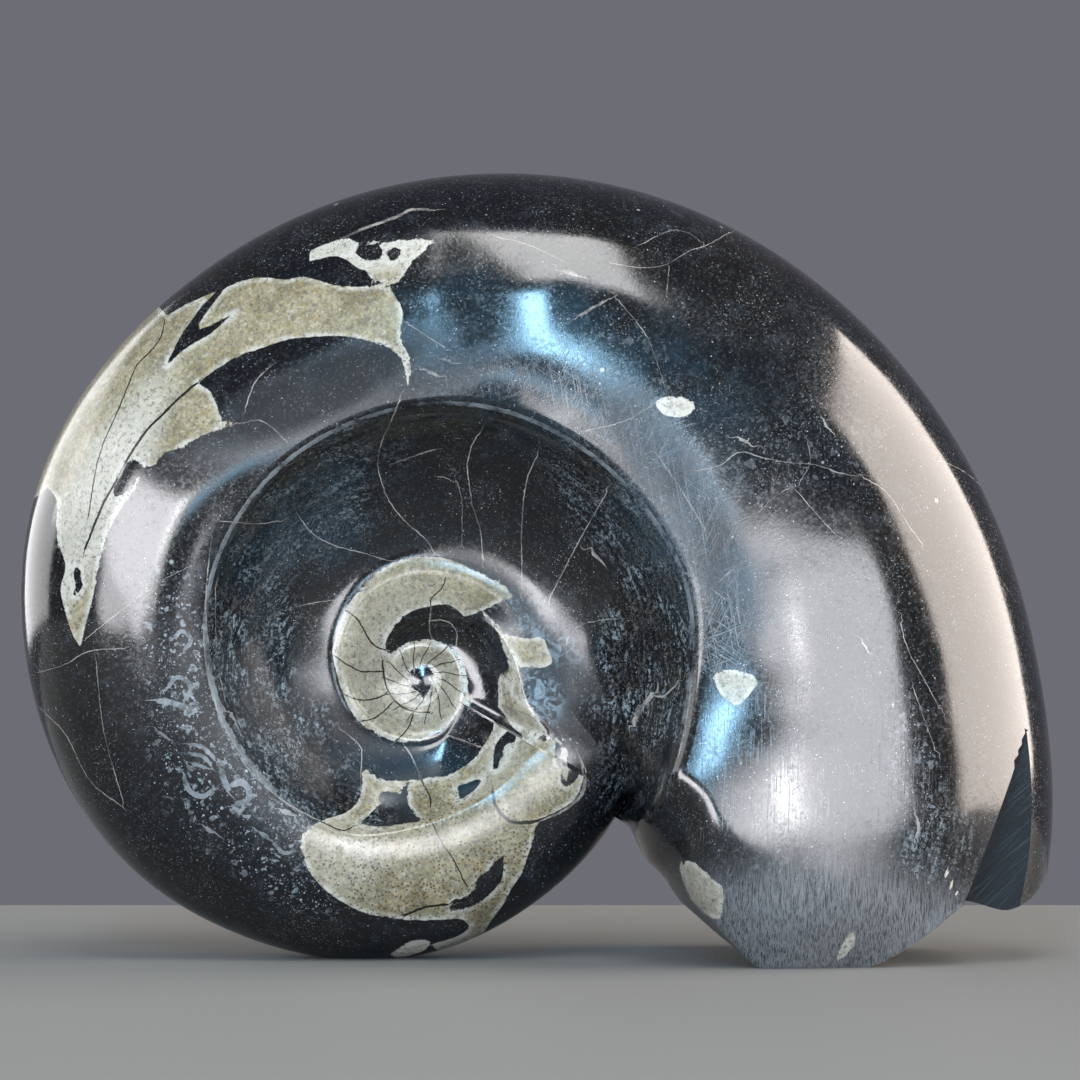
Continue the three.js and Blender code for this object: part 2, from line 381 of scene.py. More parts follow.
@dataclass
class ShellCarver:
    """Makes the shell's mesh: flat sheets are joined, wrapped round the coil, closed and cut."""

    form: ShellForm = field(default_factory=ShellForm)
    slot: Slot = field(default_factory=Slot)
    # Degrees between rows on each side; the far side is plainer.
    near_step: float = 0.625
    far_step: float = 1.25
    hub_inside: int = 3
    mouth_steps: int = 16
    # How much of the rim's crease is smoothed out, and the angle above which an edge stays sharp.
    round_rim: float = 0.5
    smooth_under: float = 48.0
    # Tolerances: in sheet units, then in metres.
    sheet_shift: float = 0.21
    same: float = 0.01
    merge_under: float = 2e-6
    collapse_under: float = 1e-6
    ground_tolerance: float = 1e-7

    def build(self) -> bpy.types.Object:
        """Makes the finished mesh object at the origin.

        Returns:
            The shell, joined, closed and cut.
        """
        bpy.ops.object.select_all(action="DESELECT")
        bpy.ops.mesh.primitive_grid_add(x_subdivisions=1, y_subdivisions=1, size=1)
        shell = bpy.context.object
        shell.name = "polished_shell"
        bpy.ops.object.mode_set(mode="EDIT")
        bpy.ops.mesh.select_all(action="SELECT")
        bpy.ops.mesh.delete(type="VERT")
        self.lay_sheets()
        self.bridge_sheets(shell)
        bpy.ops.object.mode_set(mode="OBJECT")
        self.wrap(shell)
        self.close(shell)
        self.cut_slot(shell)
        self.cut_ground(shell)
        bpy.ops.object.shade_smooth_by_angle(angle=math.radians(self.smooth_under))
        return shell

    def lay_sheets(self) -> None:
        """Lays the flat sheets side by side: X is the winding angle, Y the column."""
        form = self.form
        for sheet, step, last in ((Sheet.NEAR, self.near_step, 0), (Sheet.FAR, self.far_step, 1)):
            self.lay(sheet, -form.turn + step, 0, step, form.columns - last, form.columns - last)
            self.lay(sheet, -2 * form.turn, -form.turn, step, form.columns, form.inner_columns)
        inside = form.inner_columns + self.hub_inside
        for sheet, step in ((Sheet.NEAR_HUB, self.near_step), (Sheet.FAR_HUB, self.far_step)):
            self.lay(sheet, -2 * form.turn, -form.turn, step, inside, inside)
        self.lay(Sheet.MOUTH, 0, self.mouth_steps, 1, form.columns, form.columns)

    def lay(self, sheet: Sheet, start: float, end: float, step: float, width: int, columns: int) -> None:
        """Adds one flat grid.

        Args:
            sheet: The sheet it belongs to.
            start: First winding angle.
            end: Last winding angle.
            step: Degrees between rows.
            width: Columns of the full sheet that it spans.
            columns: Columns it is parted into.
        """
        middle = ((start + end) / 2, sheet.value + width / 2, 0)
        rows = round((end - start) / step)
        bpy.ops.mesh.select_all(action="DESELECT")
        bpy.ops.mesh.primitive_grid_add(x_subdivisions=rows, y_subdivisions=columns, size=2, location=middle)
        bpy.ops.transform.resize(value=((end - start) / 2, width / 2, 1), center_override=middle)

    def bridge_sheets(self, shell: bpy.types.Object) -> None:
        """Joins the last turn to the one inside it, and the near keel to the far one.

        Args:
            shell: The shell's mesh object.
        """
        turn, columns, same = self.form.turn, self.form.columns, self.same
        for sheet, step in ((Sheet.NEAR, self.near_step), (Sheet.FAR, self.far_step)):
            low, high = sheet.value - 0.5, sheet.value + columns + 0.5
            self.bridge(shell, lambda a, b: all(
                low < p.y < high and -turn - same < p.x < -turn + step + same for p in (a, b)
            ) and abs(a.x - b.x) < same)
        keels = (columns, Sheet.FAR.value + columns - 1)
        self.bridge(shell, lambda a, b: all(
            p.x > -turn - same and min(abs(p.y - keel) for keel in keels) < same for p in (a, b)
        ) and abs(a.y - b.y) < same)

    def bridge(self, shell: bpy.types.Object, chosen: Callable[[Vector, Vector], bool]) -> None:
        """Bridges the open edges that a test picks by their two ends.

        Args:
            shell: The shell's mesh object.
            chosen: Whether the edge between two points is one of them.
        """
        bpy.ops.mesh.select_mode(type="EDGE")
        bpy.ops.mesh.select_all(action="DESELECT")
        work = bmesh.from_edit_mesh(shell.data)
        for edge in work.edges:
            if edge.is_boundary and chosen(edge.verts[0].co, edge.verts[1].co):
                edge.select_set(True)
        bmesh.update_edit_mesh(shell.data)
        bpy.ops.mesh.bridge_edge_loops()

    def wrap(self, shell: bpy.types.Object) -> None:
        """Moves every vertex from its flat sheet to its place on the shell.

        Args:
            shell: The shell's mesh object.
        """
        form, mesh = self.form, shell.data
        flat = np.empty(3 * len(mesh.vertices))
        mesh.vertices.foreach_get("co", flat)
        angle, spot = flat.reshape(-1, 3).T[:2]
        # A sheet spans fewer columns than half the spacing, so the rounding finds where it begins.
        base = np.round(spot / SHEET_SPACING - self.sheet_shift) * SHEET_SPACING
        column = np.clip(spot - base, 0, None)
        side = np.where(base == Sheet.FAR.value, -1.0, 1.0)
        mouth = base == Sheet.MOUTH.value
        angle = np.where(mouth, angle, np.round(angle / self.near_step) * self.near_step)
        column = np.round(column * form.inner_columns) / form.inner_columns
        points = form.shell_point(np.minimum(angle, 0), column, side)
        face = form.shell_point(
            np.zeros_like(angle), column, 1 - 2 * np.clip(angle, 0, None) / self.mouth_steps, bulge=True
        )
        points[mouth] = face[mouth]
        rim = (abs(column - form.cove_columns) < self.same) & (angle < 0) & (base <= Sheet.FAR.value)
        beside = [form.shell_point(np.minimum(angle, 0), column + k, side) for k in (-1, 1)]
        rounded = points + self.round_rim * 0.5 * (beside[0] + beside[1] - 2 * points)
        points[rim] = rounded[rim]
        for sheet, way in ((Sheet.NEAR_HUB, 1.0), (Sheet.FAR_HUB, -1.0)):
            disc = base == sheet.value
            points[disc] = form.hub_point(angle, column, way, self.hub_inside)[disc]
        mesh.vertices.foreach_set("co", (points * MM).astype(np.float32).ravel())
        mesh.update()

    def close(self, shell: bpy.types.Object) -> None:
        """Merges the sheets' common edges and turns all faces outwards.

        Args:
            shell: The shell's mesh object.
        """
        bpy.ops.object.mode_set(mode="EDIT")
        bpy.ops.mesh.select_all(action="SELECT")
        bpy.ops.mesh.remove_doubles(threshold=self.merge_under)
        bpy.ops.mesh.dissolve_degenerate(threshold=self.collapse_under)
        bpy.ops.mesh.select_all(action="SELECT")
        bpy.ops.mesh.normals_make_consistent(inside=False)
        bpy.ops.object.mode_set(mode="OBJECT")

    def cut_slot(self, shell: bpy.types.Object) -> None:
        """Cuts the slot with a lofted block.

        Args:
            shell: The shell's mesh object.
        """
        bpy.ops.object.select_all(action="DESELECT")
        bpy.ops.mesh.primitive_cube_add(size=2)
        cutter = bpy.context.object
        bpy.ops.object.mode_set(mode="EDIT")
        bpy.ops.mesh.select_mode(type="EDGE")
        bpy.ops.mesh.select_all(action="DESELECT")
        work = bmesh.from_edit_mesh(cutter.data)
        for edge in work.edges:
            a, b = (v.co for v in edge.verts)
            edge.select_set(abs(a.x - b.x) > 1)
        bmesh.update_edit_mesh(cutter.data)
        bpy.ops.mesh.subdivide(number_cuts=len(self.slot.stations) - 2)
        bpy.ops.object.mode_set(mode="OBJECT")
        last = len(self.slot.stations) - 1
        for vertex in cutter.data.vertices:
            angle, floor, near = self.slot.stations[round((vertex.co.x + 1) / 2 * last)]
            radius = self.slot.outer if vertex.co.z > 0 else floor
            depth = self.slot.far if vertex.co.y > 0 else near
            spot = self.form.place(np.array(angle), np.array(radius), np.array(-depth))
            vertex.co = Vector(spot * MM)
        bpy.ops.object.mode_set(mode="EDIT")
        bpy.ops.mesh.select_all(action="SELECT")
        bpy.ops.mesh.normals_make_consistent(inside=False)
        bpy.ops.object.mode_set(mode="OBJECT")
        bpy.ops.object.select_all(action="DESELECT")
        bpy.context.view_layer.objects.active = shell
        shell.select_set(True)
        modifier = shell.modifiers.new("slot", "BOOLEAN")
        modifier.operation = "DIFFERENCE"
        modifier.solver = "EXACT"
        modifier.object = cutter
        bpy.ops.object.modifier_apply(modifier=modifier.name)
        bpy.data.objects.remove(cutter)

    def cut_ground(self, shell: bpy.types.Object) -> None:
        """Cuts the two flats that the shell stands on.

        Args:
            shell: The shell's mesh object.
        """
        bpy.ops.object.mode_set(mode="EDIT")
        bpy.ops.mesh.select_all(action="SELECT")
        bpy.ops.mesh.bisect(
            plane_co=(0, 0, 0),
            plane_no=(0, 0, 1),
            use_fill=True,
            clear_inner=True,
            threshold=self.ground_tolerance,
        )
        bpy.ops.object.mode_set(mode="OBJECT")


class Stone(Enum):
    """The two stones that the polished surface cuts through."""

    LIMESTONE = "limestone"
    CALCITE = "calcite"


@dataclass(frozen=True)
class Patch:
    """An area of one stone, outlined in millimetres as seen from the near side."""

    stone: Stone
    outline: tuple[Point, ...]
    near_only: bool = False


@dataclass(frozen=True)
class Line:
    """A vein, septum or scratch: a hairline through points, in millimetres from the near side."""

    half_width: float
    points: tuple[Point, ...]
    near_only: bool = False


@dataclass(frozen=True)
class Cloud:
    """A soft-edged oval where the surface differs, in millimetres from the near side."""

    middle: Point
    size: Point
    tilt: float = 0.0
    amount: float = 1.0


# Areas of the two stones, in the order they are laid.
PATCHES = (
    # Long crescent of chambers on the upper left flank.
    Patch(Stone.CALCITE, (
        (-75, 127.5), (-71, 124), (-68.5, 125.5), (-64, 127.5), (-60, 129), (-56, 130.5),
        (-52.5, 131), (-48, 130.5), (-44.5, 131), (-41, 130), (-37, 129), (-32.5, 129), (-29, 129),
        (-27, 127), (-25.5, 124), (-26, 119.5), (-24.5, 116), (-24, 113.5), (-24.5, 109.5),
        (-25, 112.5), (-26, 115.5), (-28.5, 117.5), (-31.5, 118.5), (-36.5, 119.5), (-41, 119.5),
        (-47, 119), (-52, 117.5), (-57.5, 115.5), (-61.5, 113), (-65, 110.5), (-62.5, 109.5),
        (-61.5, 108), (-60.5, 105.5), (-60, 103.5), (-56.5, 103), (-60, 102), (-64, 100.5),
        (-67.5, 98.5), (-71, 97.5), (-72.5, 95.5), (-75, 94.5), (-76, 96), (-77.5, 96),
        (-79.5, 93.5), (-81, 89), (-79, 89.5), (-75, 93.5), (-76.5, 90.5), (-79, 87), (-81, 83.5),
        (-82.5, 80), (-83.5, 75), (-85, 68.5), (-86.5, 63), (-87, 60.5), (-88.5, 62.5), (-90, 67),
        (-91, 71.5), (-90, 76), (-91.5, 80), (-92, 84.5), (-92, 88.5), (-94, 91), (-97, 89),
        (-102.5, 88.5), (-94.5, 108), (-85, 121.5),
    )),
    # Dark leaf between two of its septa.
    Patch(Stone.LIMESTONE, (
        (-59.2, 130.1), (-61.8, 128), (-64.2, 125.6), (-66, 123), (-67.7, 120.6), (-69.3, 117.5),
        (-70.8, 114), (-68.3, 116.4), (-65.5, 118.4), (-62.4, 120.1), (-57.4, 124.2), (-60, 123),
        (-62.4, 121.8), (-65, 121), (-64.2, 122.8), (-62, 126), (-60.3, 128.3),
    )),
    # Dark pit in its lower tail.
    Patch(Stone.LIMESTONE, (
        (-88, 76), (-87, 75), (-87, 73.5), (-86.5, 72.5), (-87, 71.5), (-88, 70), (-88.5, 70.5),
        (-88, 72.5), (-88.5, 74),
    )),
    # Wisp above the crescent.
    Patch(Stone.CALCITE, (
        (-43.5, 136), (-41.5, 137), (-38.5, 138), (-36.5, 138.5), (-34, 137.5), (-32, 138),
        (-29, 137.5), (-26, 138), (-19.5, 138), (-21.5, 136), (-24, 133.5), (-25, 131.5),
        (-27, 129.5), (-28.5, 129.5), (-31.5, 130.5), (-32.5, 132), (-34, 132.5), (-36, 134),
        (-38.5, 135), (-41.5, 134.5), (-43.5, 134),
    ), near_only=True),
    # Larger hole in the wisp.
    Patch(Stone.LIMESTONE, (
        (-35, 136), (-33.5, 137), (-30.5, 137), (-29.5, 136), (-29.5, 134.5), (-31.5, 134),
        (-33.5, 134.5),
    ), near_only=True),
    # Smaller hole in the wisp.
    Patch(Stone.LIMESTONE, (
        (-28.5, 135.5), (-28, 136.5), (-26.5, 136.5), (-26, 135.5), (-27, 134), (-28, 134),
    ), near_only=True),
    # Broad patch low on the shell, with a neck that climbs into the umbilicus.
    Patch(Stone.CALCITE, (
        (-45, 21.5), (-45, 24), (-43.5, 26), (-40.5, 27.5), (-37, 28.5), (-35, 30), (-34, 32),
        (-33.5, 37), (-31.5, 35.5), (-28.5, 34.5), (-24.5, 34.5), (-20.5, 35), (-17.5, 35.5),
        (-14.5, 37), (-12, 39), (-10.5, 41), (-9, 43.5), (-8, 46.5), (-7.5, 50), (-7.5, 53.5),
        (-6.5, 56.5), (-6.5, 59), (-7, 61.5), (-8.5, 64.5), (-11, 67), (-9, 66), (-7, 63.5),
        (-5, 60), (-3.5, 55.5), (-3, 51.5), (-1, 48.5), (2, 44), (0.5, 42), (3.5, 43), (6.5, 42.5),
        (9, 40.5), (9.5, 37), (8.5, 34), (7, 31), (4.5, 29), (0.5, 27), (-0.5, 25.5), (-1, 23),
        (-2, 20), (-3, 17), (-5, 14), (-6.5, 11), (-9, 7.5), (-11, 4.5), (-19, 1), (-20.5, 3),
        (-17, 4), (-14.5, 5), (-13, 6.5), (-14.5, 8), (-18.5, 8), (-23.5, 8), (-28, 8.5),
        (-33, 9.5), (-37, 11.5), (-40.5, 14), (-43.5, 17.5),
    )),
    # Dark chamber with battlements in the neck.
    Patch(Stone.LIMESTONE, (
        (-30.5, 32), (-29, 32.5), (-26.5, 32), (-26, 33.5), (-25, 33.5), (-25, 31.5),
        (-24.5, 29.5), (-22, 27), (-26.5, 26.5), (-30, 26), (-34.5, 26.5), (-32.5, 28),
        (-31.5, 29), (-30.5, 30),
    ), near_only=True),
    # Small dark chamber beside it.
    Patch(Stone.LIMESTONE, (
        (-16, 33.5), (-14, 34), (-10.5, 35.5), (-11.5, 33.5), (-14, 31.5), (-15.5, 31),
        (-15, 32.5),
    ), near_only=True),
    # Dark ring on the right of the neck.
    Patch(Stone.LIMESTONE, (
        (-4.5, 45), (-4, 43.5), (-5, 40.5), (-6.5, 38), (-8.5, 36.5), (-8.5, 39), (-8, 41.5),
        (-6.5, 43.5),
    ), near_only=True),
    # Its light middle.
    Patch(Stone.CALCITE, (
        (-4.5, 42), (-5, 40.5), (-6.5, 39), (-7.5, 37.5), (-7, 39.5), (-6, 41.5),
    ), near_only=True),
    # Dark bay in the right edge of the patch.
    Patch(Stone.LIMESTONE, (
        (-6.5, 20.5), (-6.5, 18), (-7, 15.5), (-9, 13), (-11.5, 11), (-14.5, 10), (-17, 10),
        (-16.5, 11.5), (-14, 12.5), (-12, 14), (-11.5, 16), (-9.5, 17.5), (-8.5, 19),
    )),
    # Dark ring in the right lobe.
    Patch(Stone.LIMESTONE, (
        (3.5, 41.5), (5, 42.5), (6.5, 42.5), (8.5, 41.5), (9.5, 39), (8.5, 36.5), (6.5, 34),
        (5.5, 33.5), (4.5, 34.5), (4.5, 37), (3.5, 38.5),
    ), near_only=True),
    # Its light middle.
    Patch(Stone.CALCITE, (
        (5, 41.5), (6, 40.5), (5.5, 38.5), (6, 36.5), (5.5, 34.5), (4.5, 36.5), (4.5, 39),
    ), near_only=True),
    # Inner whorl of chambers round the hub.
    Patch(Stone.CALCITE, (
        (-4.5, 70), (-7, 72.5), (-12, 75), (-18.5, 77.5), (-26.5, 77), (-32, 73.5), (-37, 67.5),
        (-39, 61.5), (-39.5, 59), (-37, 50), (-34.5, 46), (-31, 43.5), (-27, 42), (-24, 42),
        (-20.5, 43), (-17, 45.5), (-14.5, 49), (-13.5, 52.5), (-14, 56), (-15, 58.5),
        (-17.5, 60.5), (-20, 61.5), (-23, 61.5), (-26, 60.5), (-28.5, 59), (-29.5, 59.5),
        (-29, 62), (-27, 65), (-24.5, 67), (-21.5, 68), (-17.5, 68.5), (-15.5, 67.5), (-14, 66),
        (-11.5, 67), (-7, 69),
    )),
    # Dark first chamber at the very middle.
    Patch(Stone.LIMESTONE, (
        (-25, 54.5), (-24, 56), (-22, 56.5), (-20.5, 55.5), (-20.5, 53.5), (-21, 52), (-22, 50.5),
        (-23.5, 51.5), (-25, 53),
    )),
    # Pale wedge where the inner whorl dips under the last one.
    Patch(Stone.CALCITE, (
        (-7, 63), (-4.5, 62.5), (-1.5, 62), (1, 62.5), (2, 60), (3, 57.5), (1.5, 56.5),
        (-1.5, 56.5), (-3.5, 56.5), (-4.5, 58.5), (-6, 60.5),
    )),
    # White fleck by the ground.
    Patch(Stone.CALCITE, (
        (-28.5, 1), (-27, 2), (-25, 3.5), (-22, 4), (-20.5, 3.5), (-21.5, 2), (-23.5, 1),
        (-26.5, 0),
    )),
    # White corner on the lip of the mouth.
    Patch(Stone.CALCITE, (
        (26.5, 20), (29, 20.5), (30.5, 19.5), (33, 17), (35, 15.5), (35, 13), (34.5, 9.5),
        (32.5, 9.5), (30.5, 11), (28.5, 14),
    ), near_only=True),
    # White fleck above the umbilicus.
    Patch(Stone.CALCITE, (
        (22, 106.5), (23, 107.5), (26, 108), (28.5, 107.5), (30, 106), (28.5, 104.5), (26.5, 104),
        (24, 104.5),
    ), near_only=True),
    # White fleck beside the mouth.
    Patch(Stone.CALCITE, (
        (33, 55.5), (36, 56.5), (40.5, 55.5), (41.5, 54), (39.5, 51.5), (37.5, 49.5), (36, 50.5),
        (34, 52.5),
    ), near_only=True),
    # White fleck on the ground end.
    Patch(Stone.CALCITE, (
        (59, 7.5), (60, 6.5), (60, 4.5), (58.5, 2.5), (57, 0.5), (56.5, 2), (57.5, 4.5),
    ), near_only=True),
    # White fleck by the slot.
    Patch(Stone.CALCITE, (
        (77, 20), (78, 18), (79, 15.5), (80, 13.5), (78.5, 13.5), (77.5, 16), (76.5, 18.5),
    ), near_only=True),
)


# Septa, seams, veins, scratches and shell fragments, by half width.
LINES = (
    # Septum, seam and rib of the crescent.
    Line(0.32, (
        (-65, 110.5), (-68, 108), (-71.5, 104.5), (-74.5, 101.5), (-77.5, 97), (-79.5, 93), (-82.5, 88),
        (-84, 84.5), (-86, 79.5),
    )),
    Line(0.18, (
        (-71.5, 123), (-72, 120), (-74, 117), (-76.5, 114.5), (-78.5, 109.5), (-80.5, 104.5),
        (-82.5, 100), (-84, 95), (-85.5, 85.5),
    )),
    # Seams of the broad patch.
    Line(0.2, ((-20, 26.5), (-18, 22.5), (-16.5, 20.5), (-14.5, 16.5), (-13.5, 14.5))),
    Line(0.42, (
        (-8.5, 32.5), (-8, 30), (-6.5, 28), (-4.5, 26.8), (-0.5, 27), (2.5, 28), (5.5, 29.5), (8, 31.5),
        (9, 33.5), (9, 36), (8.5, 38),
    ), near_only=True),
    Line(0.3, ((-17.5, 11), (-21.5, 10.5), (-25.5, 9))),
    Line(0.2, ((-25.5, 41), (-24, 38.5), (-22.5, 35), (-21.5, 33), (-20.5, 31), (-20.5, 29.5))),
    # Septa of the inner whorl and its seam with the turn inside it.
    Line(0.2, ((-37, 67.5), (-34.5, 65.5), (-33, 62.5), (-31.5, 60.5), (-29, 59.5))),
    Line(0.2, ((-39, 58.5), (-36, 56.5), (-34, 55.5), (-30, 55.5))),
    Line(0.2, ((-37, 51), (-34, 50), (-30.5, 50.5), (-29, 51.5))),
    Line(0.2, ((-34, 46), (-31.5, 46.5), (-29.5, 48), (-28, 49.5))),
    Line(0.2, ((-27.5, 42), (-25, 44.5), (-24, 47.5))),
    Line(0.18, ((-17.5, 74), (-18.5, 71.5), (-20.5, 69.5), (-20.5, 67), (-21, 64.5), (-20.5, 61.5))),
    Line(0.22, (
        (-30, 57.5), (-29.8, 55), (-29.3, 52.5), (-28.2, 50.5), (-26.5, 48.8), (-24, 47.7), (-21, 47.5),
    )),
    # Wisp above the crescent, and a pale double line along the umbilicus's rim: a painted highlight on its
    # polished edge.
    Line(0.35, ((-37, 138.5), (-34, 140), (-30, 141.5), (-26, 143), (-24.5, 144), (-20.5, 144))),
    Line(0.16, (
        (-62, 80), (-63, 69.5), (-62.5, 60), (-60.5, 46.5), (-57, 40), (-53, 35), (-48, 30.8),
        (-41.5, 27.2), (-37, 25.3), (-35.5, 26),
    )),
    Line(0.1, ((-61.2, 72), (-61.3, 66), (-61, 58), (-59.5, 50))),
    # Veins of the umbilicus.
    Line(0.14, ((-38, 44.5), (-35.5, 42.5), (-34, 40.5), (-34, 36.5), (-34, 33))),
    Line(0.22, ((-17, 43), (-14, 42), (-11, 41)), near_only=True),
    Line(0.22, ((-13, 48.5), (-10, 51)), near_only=True),
    Line(0.16, ((-21.5, 65), (-19, 65.5), (-16.5, 64.5), (-15.5, 62.5), (-16, 60.5))),
    Line(0.14, (
        (-26, 107.5), (-27.5, 104), (-29.5, 100), (-30.5, 96), (-30, 92.5), (-28.5, 88.5), (-25.5, 84.5),
        (-21.5, 81), (-19.5, 78),
    )),
    Line(0.13, ((-45.5, 85.5), (-44, 83), (-41.5, 81), (-38, 79.5), (-34, 78.5), (-29, 77))),
    Line(0.11, ((-59.5, 84.5), (-53, 84), (-49.5, 84.5))),
    Line(0.13, ((-15.5, 92.5), (-14.5, 88.5), (-14.5, 84.5), (-14.5, 80))),
    Line(0.15, ((-11, 101.5), (-12.5, 99), (-13.5, 95), (-13, 91.5), (-12.5, 87.5), (-11, 83), (-10.5, 77))),
    Line(0.15, ((0.5, 98), (-2, 92.5), (-3, 84.5), (-3, 77), (-3, 71.5))),
    Line(0.15, ((13.5, 90.5), (10, 84.5), (6, 77), (2, 69))),
    Line(0.16, ((-26, 96), (-20.5, 98)), near_only=True),
    Line(0.11, ((-48.5, 67.5), (-42, 69), (-37, 69.5))),
    Line(0.11, ((-18, 93), (-16, 92))),
    Line(0.13, ((5.5, 61.5), (8, 64.5), (12, 65.5), (16, 66))),
    Line(0.5, ((18.5, 46.5), (19.8, 49), (21.8, 51.5)), near_only=True),
    Line(0.2, ((21.8, 51.5), (23.5, 51), (26.5, 54)), near_only=True),
    # Veins and scratches of the flank above the umbilicus.
    Line(0.12, ((9, 101.5), (15.5, 103), (20.5, 105.5), (22.5, 107.5))),
    Line(0.12, ((23.5, 95.5), (27, 90.5), (31.5, 83)), near_only=True),
    Line(0.12, ((-24, 121.5), (-18, 117.5)), near_only=True),
    Line(0.12, ((15.5, 126), (20.5, 119.5), (23, 113), (24.5, 108))),
    Line(0.11, ((15.5, 133), (21.5, 132.5), (25, 133.5), (29, 136), (32, 137), (37, 140))),
    Line(0.11, ((19.5, 137), (25.5, 140), (29, 139.5), (31, 138))),
    Line(0.1, ((25, 133), (24.5, 128))),
    Line(0.1, ((-8, 138.5), (-2, 137), (4.5, 134))),
    Line(0.16, ((-55.5, 105.5), (-54.5, 108.5), (-53.5, 111), (-51.5, 113)), near_only=True),
    Line(0.16, ((-56.5, 103), (-52.5, 103.5), (-49.5, 101.5), (-48, 100)), near_only=True),
    # Cracks that spread over the flank by the mouth.
    Line(0.13, (
        (30.5, 94), (34.5, 95), (38, 97.5), (42, 96.5), (47.5, 95.5), (53, 95), (57, 93.5), (61, 93),
    )),
    Line(0.11, ((49.5, 92), (51.5, 95.5), (51, 99))),
    Line(0.11, ((38, 84.5), (42, 86.5), (44.5, 89), (48, 91))),
    Line(0.12, ((49, 90), (52, 86.5), (56, 82))),
    Line(0.12, ((34.5, 73.5), (37.5, 76)), near_only=True),
    Line(0.12, ((68.5, 65), (70, 60), (73, 54.5), (76, 49))),
    Line(0.11, ((71, 52.5), (73, 47), (75, 41.5))),
    Line(0.11, ((77, 96), (81, 94.5), (87, 90.5))),
    Line(0.11, ((61, 93), (66, 90), (70, 84), (73, 80))),
    Line(0.1, ((88.5, 73.5), (91.5, 69.5))),
    # Cracks of the far left flank.
    Line(0.12, ((-95.8, 55.5), (-90.5, 57), (-85.7, 59.6), (-78.3, 60.3))),
    Line(0.12, ((-95.8, 48.5), (-90.5, 43.7), (-85.7, 34.7), (-79.1, 29.7))),
    Line(0.11, ((-84, 57.4), (-82.7, 44.4), (-79.1, 30.6))),
    Line(0.11, ((-66.8, 75.5), (-71.8, 72.9), (-78.3, 68.1), (-85.7, 62.4))),
    # Shell fragments: hooks, bars and a fan.
    Line(0.51, ((-68.8, 62.5), (-67.8, 63.6), (-66.3, 63), (-65.9, 61.5), (-66.8, 60.3)), near_only=True),
    Line(0.55, ((-70, 53.3), (-68.5, 54.8), (-66.8, 54.3), (-66, 52.5), (-66.8, 50.8)), near_only=True),
    Line(0.67, ((-72, 50.3), (-69.5, 50), (-66.5, 48.7)), near_only=True),
    Line(0.51, ((-66, 42), (-63.7, 41.5), (-61.7, 39.6)), near_only=True),
    Line(0.49, ((-66, 40.2), (-63.8, 39.8), (-62.3, 38.3)), near_only=True),
    Line(0.49, ((-65.5, 38.4), (-63.3, 37.6)), near_only=True),
    Line(0.61, ((-67.3, 35.5), (-66.3, 33.2), (-64, 32), (-61.9, 33.2)), near_only=True),
    Line(0.73, ((-60.2, 36.8), (-59.6, 35), (-59, 33.7)), near_only=True),
    Line(0.73, ((-58, 34.3), (-56.2, 34.9), (-55, 33.2), (-55.4, 31.2), (-57.2, 30.6)), near_only=True),
    Line(0.61, ((-48.4, 29.2), (-47.4, 28.8)), near_only=True),
    Line(0.55, ((-63, 25.8), (-62, 25.2)), near_only=True),
    Line(0.55, ((-52.5, 24.8), (-51.5, 24.2)), near_only=True),
    Line(0.43, ((-50, 22.6), (-48.5, 21.2), (-46.6, 21.5)), near_only=True),
    Line(0.36, ((-58.5, 47.5), (-57.5, 46), (-58.2, 44.5)), near_only=True),
    Line(0.36, ((-71.5, 44), (-70.2, 43)), near_only=True),
    # Small white flecks.
    Line(0.6, ((5.3, 131.8), (6.8, 131.3)), near_only=True),
    Line(0.35, ((12.8, 126), (11.2, 125.2), (8.2, 123.4)), near_only=True),
    Line(0.3, ((-18.2, 115.2), (-16.8, 114.8)), near_only=True),
    Line(0.35, ((-20.8, 112.8), (-19.2, 112.2)), near_only=True),
    Line(0.4, ((38.4, 99.7), (39.6, 99.3)), near_only=True),
    Line(0.3, ((54.3, 102.8), (54.7, 102.2)), near_only=True),
    Line(0.3, ((61.3, 61.3), (61.8, 60.8)), near_only=True),
    Line(0.4, ((10.6, 78.3), (11.4, 77.6)), near_only=True),
    Line(0.35, ((71.5, 28.5), (71.8, 26.8), (71.4, 25)), near_only=True),
)
